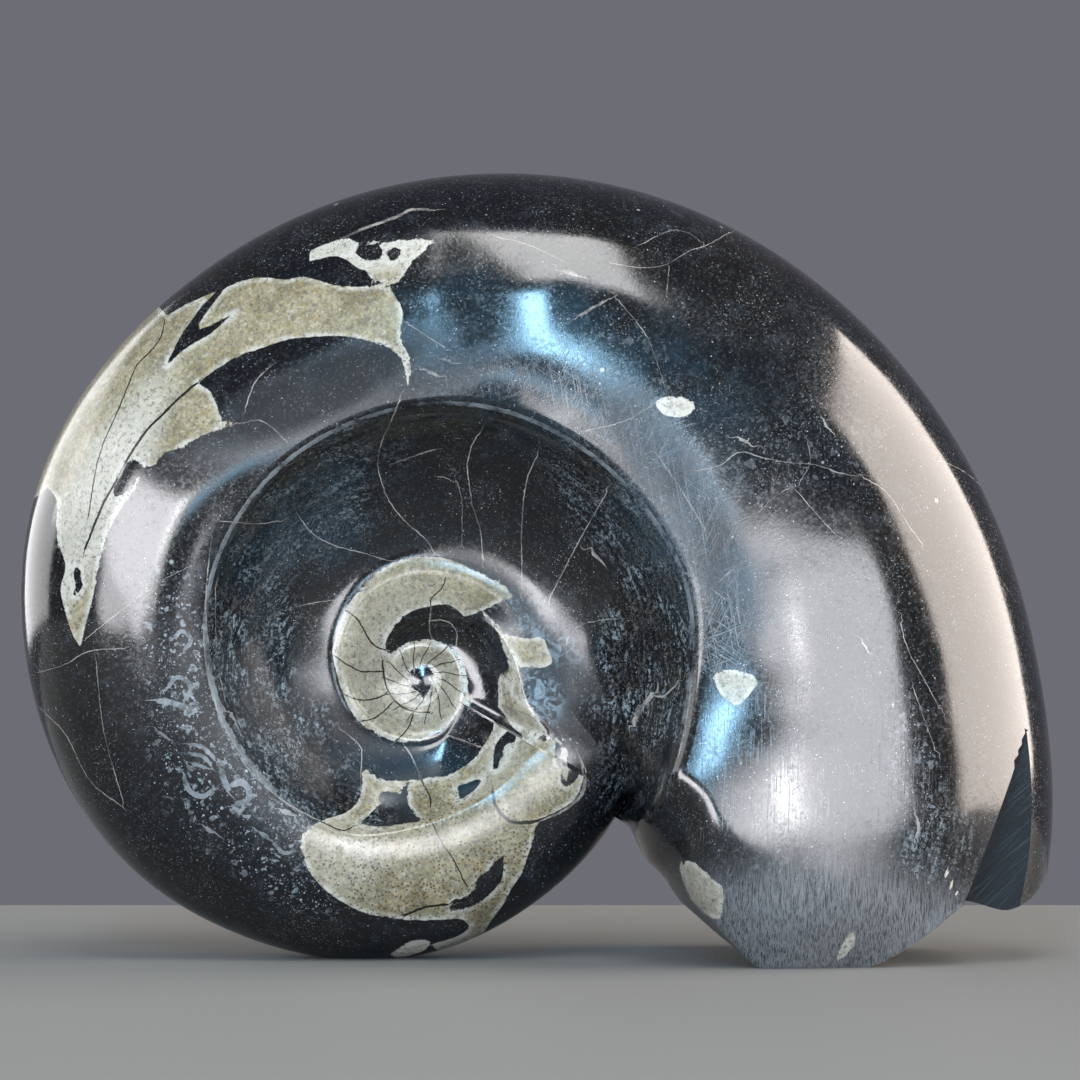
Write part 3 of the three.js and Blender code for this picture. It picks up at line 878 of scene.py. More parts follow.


# Ovals of the surface that differ from the rest: rubbed dull, brushed or scratched, left from the
# coarse grit, tinted teal as a painted blue sheen, full of shell hash, dotted with brown, filled with
# lime rubble, clouded, or whiter, partly as painted highlights.
CLOUDS: dict[str, tuple[Cloud, ...]] = {
    "dull": (
        Cloud((26, 90), (28, 8), -62, 0.6), Cloud((-28, 109), (24, 5), 18, 0.6),
        Cloud((34, 70), (18, 7), -84, 0.2), Cloud((-54, 38), (31, 12), -60, 0.8),
        Cloud((-32, 40), (21, 7), -35), Cloud((6, 51), (18, 7), -60, 0.9),
        Cloud((-42, 109), (28, 7), 24), Cloud((-9, 71), (13, 5), -38, 0.7),
    ),
    "brushed": (Cloud((52, 26), (30, 30), 0, 0.45),),
    "scratched": (
        Cloud((26, 86), (27, 9), -64), Cloud((34, 70), (18, 6), -84, 0.9),
        Cloud((16, 104), (20, 9), -42, 0.4), Cloud((-44, 85), (12, 7), 48, 0.5),
        Cloud((40, 112), (26, 14), -30, 0.15), Cloud((-8, 112), (24, 8), 4, 0.15),
    ),
    "coarse": (Cloud((52, 4), (40, 19)),),
    # A teal tint, painted as a blue sheen.
    "teal": (
        Cloud((8, 114), (34, 17), -22), Cloud((28, 86), (30, 13), -62),
        Cloud((-24, 36), (18, 8), -12, 0.9), Cloud((-42, 84), (15, 9), 48, 0.8),
        Cloud((-52, 52), (34, 10), -80, 0.5), Cloud((2, 60), (14, 9), -60, 0.6),
    ),
    "hash": (
        Cloud((-68, 58), (21, 8), -84), Cloud((-60, 36), (17, 12), -56), Cloud((-47, 20), (15, 9), -34),
        Cloud((48, 98), (20, 9), 10, 0.3), Cloud((18, 112), (14, 9), -40, 0.3),
        Cloud((72, 34), (20, 5), -80, 0.6),
    ),
    "stipple": (
        Cloud((-15, 20), (26, 13), 12), Cloud((-34, 18), (12, 8), 0, 0.45),
        Cloud((-20, 30), (14, 5), 10, 0.6),
    ),
    "rubble": (
        Cloud((-51, 50), (30, 11), -78), Cloud((20, 56), (30, 10), 82),
        Cloud((-42, 90), (20, 12), 42, 0.5), Cloud((14, 88), (18, 9), -50, 0.7),
        Cloud((-40, 34), (14, 8), -38, 0.9), Cloud((-4, 66), (7, 5), -50, 0.7),
        Cloud((42, 12), (16, 12), 60, 0.8), Cloud((76, 20), (12, 9), -70, 0.8),
    ),
    "marble": (
        Cloud((0.5, 51.5), (6, 4), -60), Cloud((2, 61), (8, 3.5), -28, 0.7),
        Cloud((-18, 72), (9, 3), -30, 0.5),
    ),
    # Whiter calcite: real white flecks, and painted highlights on the crescent's left tail and by the neck.
    "whiter": (
        Cloud((-38, 20), (10, 8), 10, 0.4), Cloud((-84, 88), (30, 7), 62, 0.9),
        Cloud((-34, 136), (16, 5), 0, 0.9), Cloud((-24, 57), (17, 17), 0, 0.45),
        Cloud((-4, 44), (14, 4), 60, 0.5), Cloud((37, 53), (7, 6), 0, 0.3), Cloud((58, 4), (6, 6), 0, 0.5),
        Cloud((31, 15), (8, 8), 0, 0.6), Cloud((26, 106), (7, 4)), Cloud((-24, 2.5), (7, 4)),
        Cloud((78, 17), (5, 7)), Cloud((-20, 5), (10, 4), 0, 0.5),
    ),
}


def rounded(points: Sequence[Point], closed: bool, parts: int = 5, corner: float = 62.0) -> np.ndarray:
    """Draws a smooth line through points, and leaves its sharp corners sharp.

    Args:
        points: The points, in millimetres.
        closed: Whether the line comes back to its first point.
        parts: Straight pieces between two points.
        corner: Turns above this many degrees stay corners.

    Returns:
        The points of the finer line.
    """
    spot = np.array(points, float)
    before, after = np.roll(spot, 1, axis=0), np.roll(spot, -1, axis=0)
    if not closed:
        before[0], after[-1] = spot[0], spot[-1]
    incoming, outgoing = spot - before, after - spot
    turn = np.arctan2(
        incoming[:, 0] * outgoing[:, 1] - incoming[:, 1] * outgoing[:, 0], (incoming * outgoing).sum(1)
    )
    soft = (abs(np.degrees(turn)) < corner)[:, None]
    way = incoming + outgoing
    way = way / np.maximum(np.linalg.norm(way, axis=1), 1e-9)[:, None]
    count = len(spot) if closed else len(spot) - 1
    line = []
    for k in range(count):
        n = (k + 1) % len(spot)
        span = outgoing[k]
        reach = np.linalg.norm(span)
        start = way[k] * reach if soft[k] else span
        end = way[n] * reach if soft[n] else span
        for u in np.arange(parts) / parts:
            bend = u * (1 - u) * (start * (1 - u) - end * u)
            line.append(spot[k] * (1 + 2 * u) * (1 - u) ** 2 + spot[n] * u * u * (3 - 2 * u) + bend)
    if not closed:
        line.append(spot[-1])
    return np.array(line)


def side_distance(spots: np.ndarray, line: np.ndarray, closed: bool) -> np.ndarray:
    """Measures how far spots lie from a line, with the side they lie on as the sign.

    Args:
        spots: Places in millimetres.
        line: Points of the line.
        closed: Whether the line is an outline; inside it the distance is negative.

    Returns:
        Signed distances in millimetres.
    """
    ends = np.roll(line, -1, axis=0) if closed else line[1:]
    best = np.full(len(spots), 1e9)
    sign = np.ones(len(spots))
    inside = np.zeros(len(spots), bool)
    for a, b in zip(line, ends):
        span = b - a
        length = max(float(span @ span), 1e-12)
        off = spots - a
        along = np.clip(off @ span / length, 0, 1)
        gap = np.linalg.norm(off - along[:, None] * span, axis=1)
        nearer = gap < best
        best = np.where(nearer, gap, best)
        if closed:
            crossing = (a[1] > spots[:, 1]) != (b[1] > spots[:, 1])
            level = (spots[:, 1] - a[1]) / (span[1] or 1e-12)
            inside ^= crossing & (spots[:, 0] < a[0] + level * span[0])
        else:
            side = np.sign(span[0] * off[:, 1] - span[1] * off[:, 0])
            sign = np.where(nearer, side, sign)
    return np.where(inside, -best, best) if closed else best * np.where(sign == 0, 1, sign)


@dataclass
class ShellMarkings:
    """Writes where each stone and each line lies onto the shell's vertices."""

    form: ShellForm
    slot: Slot
    # How far from a stone's edge or a line distances are kept, and how far from it a line shows.
    reach: float = 5.0
    line_reach: float = 6.0
    beside: Point = (0.75, 2.0)
    beside_from: Point = (9.0, 26.0)
    line_fade: Point = (1.0, 1.6)
    alone: float = 99.0
    # Lines are spread over channels, so that close ones don't mix, and drawn a little thinner.
    channels: int = 5
    line_share: float = 0.82
    edge_step: float = 6.0
    cloud_edge: Point = (0.55, 1.25)
    # How near and how squarely a face must lie to count as sawn.
    wall_within: float = 0.05
    squarely: float = 0.99
    mostly: float = 0.95
    hardly: float = 0.1
    # How the far side's pattern drifts from the near side's, and over what depth that sets in.
    far_drift: float = 5.0
    far_wave: float = 23.0
    far_from: Point = (0.0, 14.0)
    far_phases: tuple[float, float, float] = (1.3, 0.4, 2.0)
    far_slower: Point = (0.6, 0.7)
    # Septa of the innermost turn: half width, number, radii and how far they sweep back.
    septum_half: float = 0.15
    septa_count: int = 15
    septa_from: float = 2.6
    septa_to: float = 8.2
    septa_sweep: float = -0.5

    def mark(self, shell: bpy.types.Object) -> None:
        """Adds all attributes to the shell.

        Args:
            shell: The finished mesh object.
        """
        mesh = shell.data
        flat = np.empty(3 * len(mesh.vertices))
        mesh.vertices.foreach_get("co", flat)
        x, y, z = flat.reshape(-1, 3).T / MM
        # The far side shows the same stones bent out of shape, as the other cut of one fossil would.
        depth = smoothstep(y, *self.far_from) * self.far_drift
        wave = 2 * math.pi / self.far_wave
        first, second, third = self.far_phases
        slow_x, slow_z = self.far_slower
        across = depth * np.sin(z * wave + first) * np.cos(x * wave * slow_x)
        along = depth * np.sin(x * wave + second) * np.cos(z * wave * slow_z + third)
        spots = np.stack([x + across, z + along], axis=1)
        near = y <= self.far_from[0]
        self.store(mesh, "calcite", self.stones(spots, near))
        drawn = self.lines(spots, near, [*LINES, *self.septa()], self.channels)
        # The last channel holds the umbilicus's worn edges, drawn with a painted highlight.
        for k, (gap, width) in enumerate(drawn + self.lines(spots, near, self.worn_edge_highlight_lines(), 1)):
            self.store(mesh, f"gap_{k}", gap)
            self.store(mesh, f"width_{k}", width)
        for name, clouds in CLOUDS.items():
            self.store(mesh, name, self.clouds(spots, clouds))
        self.mark_sawn(mesh)

    def mark_sawn(self, mesh: bpy.types.Mesh) -> None:
        """Marks the faces of the slot: its flat far wall, and its floor, which faces away from the coil.

        Args:
            mesh: The shell's mesh.
        """
        count = 3 * len(mesh.polygons)
        middle, normal = np.empty(count), np.empty(count)
        mesh.polygons.foreach_get("center", middle)
        mesh.polygons.foreach_get("normal", normal)
        middle, normal = middle.reshape(-1, 3) / MM, normal.reshape(-1, 3)
        out = middle[:, [0, 2]] - np.array(self.form.axis)
        outward = (normal[:, [0, 2]] * out).sum(1) / np.linalg.norm(out, axis=1)
        wall = (abs(middle[:, 1] - self.slot.far) < self.wall_within) & (normal[:, 1] < -self.squarely)
        level = (outward > self.mostly) & (abs(normal[:, 1]) < self.hardly)
        sawn = wall | (level & (middle[:, 1] < self.slot.far))
        mesh.attributes.new("sawn", "FLOAT", "FACE").data.foreach_set("value", sawn.astype(np.float32))

    def store(self, mesh: bpy.types.Mesh, name: str, values: np.ndarray) -> None:
        """Writes one value per vertex under a name."""
        mesh.attributes.new(name, "FLOAT", "POINT").data.foreach_set("value", values.astype(np.float32))

    def stones(self, spots: np.ndarray, near: np.ndarray) -> np.ndarray:
        """Finds the distance to the nearest edge of the calcite, negative inside it.

        Args:
            spots: Places of the vertices, in millimetres.
            near: Whether each lies on the near side.

        Returns:
            The distances, in millimetres.
        """
        result = np.full(len(spots), self.reach)
        for patch in PATCHES:
            line = rounded(patch.outline, closed=True)
            low, high = line.min(0) - self.reach, line.max(0) + self.reach
            chosen = np.all((spots > low) & (spots < high), axis=1) & (near | (not patch.near_only))
            gap = np.clip(side_distance(spots[chosen], line, closed=True), -self.reach, self.reach)
            if patch.stone is Stone.CALCITE:
                result[chosen] = np.minimum(result[chosen], gap)
            else:
                result[chosen] = np.maximum(result[chosen], -gap)
        return result

    def septa(self) -> list[Line]:
        """Draws the curved walls between the chambers of the innermost turn.

        Returns:
            A line for each wall.
        """
        walls = []
        x, z = self.form.axis
        for k in range(self.septa_count):
            around = math.tau * (k + 0.5) / self.septa_count
            points = []
            for share in (0.0, 0.25, 0.5, 0.75, 1.0):
                radius = self.septa_from + share * (self.septa_to - self.septa_from)
                way = around + self.septa_sweep * math.sin(math.pi * share * 0.5)
                points.append((x + radius * math.cos(way), z + radius * math.sin(way)))
            walls.append(Line(self.septum_half, tuple(points)))
        return walls

    def worn_edge_highlight_lines(self) -> list[Line]:
        """Draws the worn edges of the umbilicus, its rim and the seam where the inner whorl dips, which carry
        a painted highlight.

        Returns:
            Lines along the edges.
        """
        form, edges = self.form, []
        for curve, start, end, half_width in (
            (form.rim, -330, -12, 0.5), (form.rim, -250, -205, 0.9), (form.seam, -262, -150, 0.32),
        ):
            angle = np.arange(start, end, self.edge_step)
            at = form.place(angle, curve(angle), np.zeros_like(angle))
            edges.append(Line(half_width, tuple((float(x), float(z)) for x, _, z in at)))
        return edges

    def lines(
        self, spots: np.ndarray, near: np.ndarray, lines: Sequence[Line], channels: int
    ) -> list[tuple[np.ndarray, np.ndarray]]:
        """Finds distances to lines; lines that lie close together use different channels.

        Args:
            spots: Places of the vertices, in millimetres.
            near: Whether each lies on the near side.
            lines: The lines.
            channels: How many channels they are spread over.

        Returns:
            For each channel, the distances and the half widths, 0 away from the lines.
        """
        from_axis = np.linalg.norm(spots - np.array(self.form.axis), axis=1)
        grown = smoothstep(from_axis, *self.beside_from)
        beside = self.beside[0] + (self.beside[1] - self.beside[0]) * grown
        gaps = [np.full(len(spots), self.line_reach) for _ in range(channels)]
        fields = [np.full(len(spots), self.line_reach) for _ in range(channels)]
        widths = [np.zeros(len(spots)) for _ in range(channels)]
        drawn: list[list[np.ndarray]] = [[] for _ in range(channels)]
        for line in lines:
            path = rounded(line.points, closed=False)
            spare = [
                min(
                    (np.linalg.norm(path[:, None] - other[None], axis=2).min() for other in there),
                    default=self.alone,
                )
                for there in drawn
            ]
            pick = int(np.argmax(spare))
            drawn[pick].append(path)
            low, high = path.min(0) - self.line_reach, path.max(0) + self.line_reach
            chosen = np.flatnonzero(
                np.all((spots > low) & (spots < high), axis=1) & (near | (not line.near_only))
            )
            gap = side_distance(spots[chosen], path, closed=False)
            nearer = abs(gap) < gaps[pick][chosen]
            gaps[pick][chosen[nearer]] = abs(gap[nearer])
            fields[pick][chosen[nearer]] = gap[nearer]
            widths[pick][chosen[nearer]] = line.half_width * self.line_share
        return [
            (field, width * (1 - smoothstep(gap / beside, *self.line_fade)))
            for gap, field, width in zip(gaps, fields, widths)
        ]

    def clouds(self, spots: np.ndarray, clouds: Sequence[Cloud]) -> np.ndarray:
        """Lays soft ovals over one another; where some overlap, the strongest holds.

        Args:
            spots: Places of the vertices, in millimetres.
            clouds: The ovals of one kind.

        Returns:
            How strong the kind is at each place, 0 to 1.
        """
        total = np.zeros(len(spots))
        for cloud in clouds:
            way = math.radians(cloud.tilt)
            off = spots - np.array(cloud.middle)
            along = off[:, 0] * math.cos(way) + off[:, 1] * math.sin(way)
            across = off[:, 1] * math.cos(way) - off[:, 0] * math.sin(way)
            far = np.hypot(along / cloud.size[0], across / cloud.size[1])
            total = np.maximum(total, cloud.amount * (1 - smoothstep(far, *self.cloud_edge)))
        return total


def add_node(
    tree: bpy.types.NodeTree,
    kind: str,
    settings: dict[str, object] | None = None,
    inputs: dict[str | int, object] | None = None,
    output: str | None = None,
) -> bpy.types.NodeSocket | None:
    """Adds a node to a tree.

    Args:
        tree: The material's node tree.
        kind: Type name of the node.
        settings: Properties of the node.
        inputs: Values or sockets for its inputs, by name or by place among those in use.
        output: Name of the output to hand back, or None for the first in use.

    Returns:
        The output socket, or None where the node has none.
    """
    node = tree.nodes.new(kind)
    for name, value in (settings or {}).items():
        setattr(node, name, value)
    live = [socket for socket in node.inputs if socket.enabled]
    for key, value in (inputs or {}).items():
        socket = live[key] if isinstance(key, int) else next(s for s in live if s.name == key)
        if isinstance(value, bpy.types.NodeSocket):
            tree.links.new(value, socket)
        else:
            socket.default_value = value
    shown = [socket for socket in node.outputs if socket.enabled]
    if output:
        return next(s for s in shown if s.name == output)
    return shown[0] if shown else None


@dataclass(frozen=True)
class Limestone:
    """Black bituminous limestone, lapped and buffed: near-black and glassy, with pale lime specks."""

    blue_black: str = "#040507"
    brown_black: str = "#070605"
    # Teal of a painted blue sheen, laid in patches.
    teal: str = "#0c1a21"
    cloud: str = "#282f35"
    speck: str = "#7b8084"
    vein: str = "#7b7772"
    # Pale grey of the shell hash, and of the painted highlight along the rim and seam.
    pale_grey_and_rim_highlight: str = "#60676b"
    rubble: str = "#616b71"
    rust: str = "#393735"
    scuff: str = "#596871"
    ground: str = "#5e6164"
    sawn: str = "#050c11"
    gloss: float = 0.09
    dull_gloss: float = 0.34
    coarse_gloss: float = 0.36
    sawn_gloss: float = 0.38
    scuff_strength: float = 0.4
    rubble_wear: float = 0.75
    dull_wear: float = 0.9
    shine: float = 0.5
    worn_shine: float = 0.08
    ior: float = 1.52


@dataclass(frozen=True)
class Calcite:
    """Sparry calcite in the chambers, buffed with the limestone: cream to olive, grainy, white at edges."""

    cream: str = "#6a6654"
    olive: str = "#4f4c3a"
    ochre: str = "#615432"
    # Milky white of the calcite, also laid as painted highlights.
    white: str = "#86867f"
    grey: str = "#3c3c3a"
    dot: str = "#35281a"
    seam: str = "#14130f"
    gloss: float = 0.2
    softness: float = 0.35


RANGE, MIX, NOISE = "ShaderNodeMapRange", "ShaderNodeMix", "ShaderNodeTexNoise"
CELLS, MATHS, VECTOR = "ShaderNodeTexVoronoi", "ShaderNodeMath", "ShaderNodeVectorMath"
EASED = {"interpolation_type": "SMOOTHSTEP"}
COLOUR = {"data_type": "RGBA"}
TIMES = {"operation": "MULTIPLY"}
PLUS = {"operation": "ADD"}
MOST = {"operation": "MAXIMUM"}
SCALED_PLUS = {"operation": "MULTIPLY_ADD"}


@dataclass
class ShellSurface:
    """Node material of the polished shell: its two stones, veins, specks and scratches."""

    axis: Point
    channels: int
    limestone: Limestone = field(default_factory=Limestone)
    calcite: Calcite = field(default_factory=Calcite)
    edge_wander: float = 0.5
    line_wander: float = 0.26
    name: str = "polished_black_limestone_with_calcite"

    def build(self) -> bpy.types.Material:
        """Makes the material.

        Returns:
            The material, which reads the shell's attributes.
        """
        material = bpy.data.materials.new(self.name)
        material.use_nodes = True
        material.node_tree.nodes.clear()
        self.add = partial(add_node, material.node_tree)
        place = self.add("ShaderNodeTexCoord", output="Object")
        # Object coordinates in millimetres, so each scale below is one over a real size.
        self.spot = self.add(VECTOR, {"operation": "SCALE"}, {"Vector": place, "Scale": 1 / MM})
        marks = ["calcite", "sawn", *CLOUDS]
        marks += [f"{kind}_{k}" for k in range(self.channels + 1) for kind in ("gap", "width")]
        self.marks = {
            name: self.add("ShaderNodeAttribute", {"attribute_name": name}, output="Fac") for name in marks
        }
        self.scratches = self.scuffs()
        edge = self.edge()
        filled = self.add(RANGE, EASED, {"Value": edge, "From Min": 0.1, "From Max": -0.1})
        line = self.line_mask()
        stone, stone_gloss = self.limestone_colour(line), self.limestone_gloss()
        spar = self.calcite_colour(edge, line)
        colour = self.add(MIX, COLOUR, {"Factor": filled, "A": stone, "B": spar})
        gloss = self.add(MIX, None, {"Factor": filled, "A": stone_gloss, "B": self.calcite.gloss})
        shine = self.shine(filled)
        shader = self.add("ShaderNodeBsdfPrincipled", None, {
            "Base Color": colour, "Roughness": gloss, "IOR": self.limestone.ior,
            "Specular IOR Level": shine, "Normal": self.relief(),
        })
        self.add("ShaderNodeOutputMaterial", None, {"Surface": shader})
        return material

    def noise(
        self,
        scale: float,
        low: float,
        high: float,
        amount: float = 1.0,
        detail: float = 4.0,
        rough: float = 0.6,
    ) -> bpy.types.NodeSocket:
        """Gives noise of a size, eased from 0 at a low value to an amount at a high one.

        Args:
            scale: One over its size in millimetres.
            low: Noise value that gives 0.
            high: Noise value that gives the amount.
            amount: Largest result.
            detail: Octaves of finer noise.
            rough: Share of each finer octave.

        Returns:
            The eased noise.
        """
        bare = self.add(NOISE, None, {
            "Vector": self.spot, "Scale": scale, "Detail": detail, "Roughness": rough,
        })
        return self.add(RANGE, EASED, {"Value": bare, "From Min": low, "From Max": high, "To Max": amount})

    def layer(
        self, below: object, factor: object, above: str | bpy.types.NodeSocket
    ) -> bpy.types.NodeSocket:
        """Lays a colour over another by a mask."""
        top = linear(above) if isinstance(above, str) else above
        return self.add(MIX, COLOUR, {"Factor": factor, "A": below, "B": top})

    def both(self, one: object, other: object) -> bpy.types.NodeSocket:
        """Multiplies two masks."""
        return self.add(MATHS, TIMES, {0: one, 1: other})

    def edge(self) -> bpy.types.NodeSocket:
        """Finds the distance to the calcite's edge, with the small bays of grown crystals.

        Returns:
            The distance in millimetres, negative inside the calcite.
        """
        wander = self.add(NOISE, None, {"Vector": self.spot, "Scale": 0.9, "Detail": 6.0, "Roughness": 0.72})
        ragged = self.noise(0.07, 0.45, 0.58, 1.0, 2.0)
        reach = self.add(MATHS, SCALED_PLUS, {0: ragged, 1: 3 * self.edge_wander, 2: self.edge_wander})
        middle = self.add(MATHS, {"operation": "SUBTRACT"}, {0: wander, 1: 0.5})
        return self.add(MATHS, SCALED_PLUS, {0: middle, 1: reach, 2: self.marks["calcite"]})

    def line_mask(self) -> bpy.types.NodeSocket:
        """Shows where the veins and septa run: broken hairlines that wander a little.

        Returns:
            The mask, 1 on a line.
        """
        wander = self.add(NOISE, None, {"Vector": self.spot, "Scale": 0.8, "Detail": 3.0, "Roughness": 0.6})
        self.shift = self.add(MATHS, SCALED_PLUS, {0: wander, 1: 2 * self.line_wander, 2: -self.line_wander})
        found = None
        for k in range(self.channels):
            shown = self.one_line(k)
            found = self.add(MATHS, MOST, {0: found, 1: shown}) if found else shown
        return found

    def one_line(self, channel: int) -> bpy.types.NodeSocket:
        """Shows the lines of one channel.

        Args:
            channel: Number of the channel.

        Returns:
            The mask, 1 on a line.
        """
        off = self.add(MATHS, PLUS, {0: self.marks[f"gap_{channel}"], 1: self.shift})
        gap = self.add(MATHS, {"operation": "ABSOLUTE"}, {0: off})
        past = self.add(MATHS, {"operation": "SUBTRACT"}, {0: gap, 1: self.marks[f"width_{channel}"]})
        return self.add(RANGE, EASED, {"Value": past, "From Min": 0.02, "From Max": -0.07})

    def limestone_colour(self, line: bpy.types.NodeSocket) -> bpy.types.NodeSocket:
        """Colours the limestone.

        Args:
            line: Mask of the veins.

        Returns:
            Its colour.
        """
        look, marks = self.limestone, self.marks
        colour = self.layer(linear(look.blue_black), self.noise(0.05, 0.4, 0.62), look.brown_black)
        # Painted blue sheen: a teal tint in patches.
        colour = self.layer(colour, self.both(marks["teal"], self.noise(0.08, 0.3, 0.6)), look.teal)
        # Lime mud: clouds about 4 mm across, a mottling of half a millimetre, and flour in places.
        colour = self.layer(colour, self.noise(0.24, 0.52, 0.78, 0.5, 7.0, 0.72), look.cloud)
        colour = self.layer(colour, self.noise(1.6, 0.52, 0.72, 0.9, 5.0, 0.75), look.cloud)
        flour = self.both(self.noise(2.6, 0.58, 0.72, 0.55, 3.0, 0.7), self.noise(0.1, 0.46, 0.64))
        colour = self.layer(colour, flour, look.speck)
        # Swirls of 2 mm where lime was stirred into the mud.
        marbled = self.add(NOISE, None, {"Vector": self.spot, "Scale": 0.5, "Detail": 5.0, "Distortion": 1.5})
        marbled = self.add(RANGE, EASED, {
            "Value": marbled, "From Min": 0.42, "From Max": 0.66, "To Max": 0.8,
        })
        colour = self.layer(colour, self.both(marbled, marks["marble"]), look.scuff)
        # Shell and lime bedded in the stone, and specks over them.
        earth = self.layer(linear(look.rubble), self.noise(0.12, 0.42, 0.58), look.rust)
        colour = self.layer(colour, self.rubble(), earth)
        colour = self.layer(colour, self.shell_hash(), look.pale_grey_and_rim_highlight)
        colour = self.layer(colour, self.specks(), look.speck)
        # Wear: the coarse grit's grey, scratches, the saw's dust, and the rubbed rim, whose pale line is
        # partly a painted highlight.
        streaked = self.add(MATHS, SCALED_PLUS, {0: self.scratches["coarse"], 1: 0.7, 2: 0.12})
        colour = self.layer(colour, self.both(marks["coarse"], streaked), look.ground)
        for kind in ("scratched", "brushed"):
            colour = self.layer(colour, self.both(self.scratches[kind], look.scuff_strength), look.scuff)
        sawn = self.layer(linear(look.sawn), self.both(self.scratches["sawn"], 0.2), look.scuff)
        colour = self.layer(colour, marks["sawn"], sawn)
        # The pale line along the rim and seam: worn edges with a painted highlight.
        pale_grey_and_rim_highlight = self.both(self.one_line(self.channels), self.noise(0.12, 0.36, 0.62, 0.75, 6.0, 0.7))
        colour = self.layer(colour, pale_grey_and_rim_highlight, look.pale_grey_and_rim_highlight)
        # Veins fade in and out along their run.
        faded = self.add(RANGE, EASED, {
            "Value": self.noise(0.16, 0.34, 0.66, 1.0, 5.0, 0.7), "To Min": 0.15, "To Max": 0.8,
        })
        kind = self.layer(linear(look.vein), marks["hash"], look.pale_grey_and_rim_highlight)
        return self.layer(colour, self.both(line, faded), kind)

    def limestone_gloss(self) -> bpy.types.NodeSocket:
        """Sets how rough the limestone is: glassy where buffed, satin where rubbed or sawn.

        Returns:
            Its roughness.
        """
        look, marks = self.limestone, self.marks
        gloss = self.add(MIX, None, {"Factor": marks["dull"], "A": look.gloss, "B": look.dull_gloss})
        brushed = self.add(MATHS, SCALED_PLUS, {0: marks["brushed"], 1: 0.05, 2: gloss})
        brushed = self.add(MATHS, SCALED_PLUS, {0: marks["rubble"], 1: 0.04, 2: brushed})
        gloss = self.add(MIX, None, {"Factor": marks["coarse"], "A": brushed, "B": look.coarse_gloss})
        gloss = self.add(MIX, None, {"Factor": marks["sawn"], "A": gloss, "B": look.sawn_gloss})
        # The buff leaves the gloss uneven, in clouds of 8 mm and in pinpricks.
        clouded, pricked = self.noise(0.12, 0.3, 0.7, 0.05), self.noise(1.3, 0.45, 0.75, 0.12)
        uneven = self.add(MATHS, PLUS, {0: clouded, 1: pricked})
        return self.add(MATHS, PLUS, {0: gloss, 1: uneven})

    def shine(self, filled: bpy.types.NodeSocket) -> bpy.types.NodeSocket:
        """Sets how strongly the stone mirrors: less in the dusty slot, on crumbly walls and on calcite.

        Args:
            filled: Mask of the calcite.

        Returns:
            The specular level.
        """
        look, worn = self.limestone, self.marks["sawn"]
        for mask, share in (
            (self.marks["rubble"], look.rubble_wear), (self.marks["dull"], look.dull_wear),
            (filled, self.calcite.softness),
        ):
            worn = self.add(MATHS, MOST, {0: worn, 1: self.both(mask, share)})
        return self.add(MIX, None, {"Factor": worn, "A": look.shine, "B": look.worn_shine})

    def specks(self) -> bpy.types.NodeSocket:
        """Scatters lime specks of 0.1 to 1 mm, thicker in the shell hash.

        Returns:
            The mask of the specks.
        """
        found = None
        for scale, size in ((1.7, 0.2), (0.85, 0.19), (0.42, 0.13), (0.13, 0.13)):
            cells = {"Vector": self.spot, "Scale": scale}
            near = self.add(CELLS, None, cells)
            chance = self.add(CELLS, None, cells, output="Color")
            grade = self.add(MATHS, SCALED_PLUS, {0: self.marks["hash"], 1: 0.08, 2: size - 0.05})
            inner = self.add(MATHS, {"operation": "SUBTRACT"}, {0: self.both(chance, grade), 1: near})
            dot = self.add(RANGE, EASED, {"Value": inner, "From Min": -0.01, "From Max": 0.03, "To Max": 0.7})
            found = self.add(MATHS, MOST, {0: found, 1: dot}) if found else dot
        return found

    def shell_hash(self) -> bpy.types.NodeSocket:
        """Draws the shell hash: bent crumbs of shell, 0.5 to 2 mm across, some of them hollow rings.

        Returns:
            The mask of the crumbs.
        """
        bend = self.add(NOISE, None, {"Vector": self.spot, "Scale": 0.7, "Detail": 3.0}, output="Color")
        bent = self.add(VECTOR, {"operation": "MULTIPLY_ADD"}, {0: bend, 1: (2.6, 2.6, 2.6), 2: self.spot})
        found = None
        for scale, size, hollow in ((0.36, 0.42, 0.12), (0.62, 0.42, 0.0), (1.1, 0.36, 0.0)):
            cells = {"Vector": bent, "Scale": scale}
            near = self.add(CELLS, None, cells)
            chance = self.add(CELLS, None, cells, output="Color")
            inner = self.add(MATHS, {"operation": "SUBTRACT"}, {0: self.both(chance, size), 1: near})
            crumb = self.add(RANGE, EASED, {"Value": inner, "From Min": -0.03, "From Max": 0.05})
            if hollow:
                core = self.add(RANGE, EASED, {"Value": near, "From Min": hollow * 0.5, "From Max": hollow})
                crumb = self.both(crumb, core)
            found = self.add(MATHS, MOST, {0: found, 1: crumb}) if found else crumb
        worn = self.noise(0.5, 0.34, 0.6, 0.85, 5.0, 0.7)
        return self.both(self.both(found, worn), self.marks["hash"])

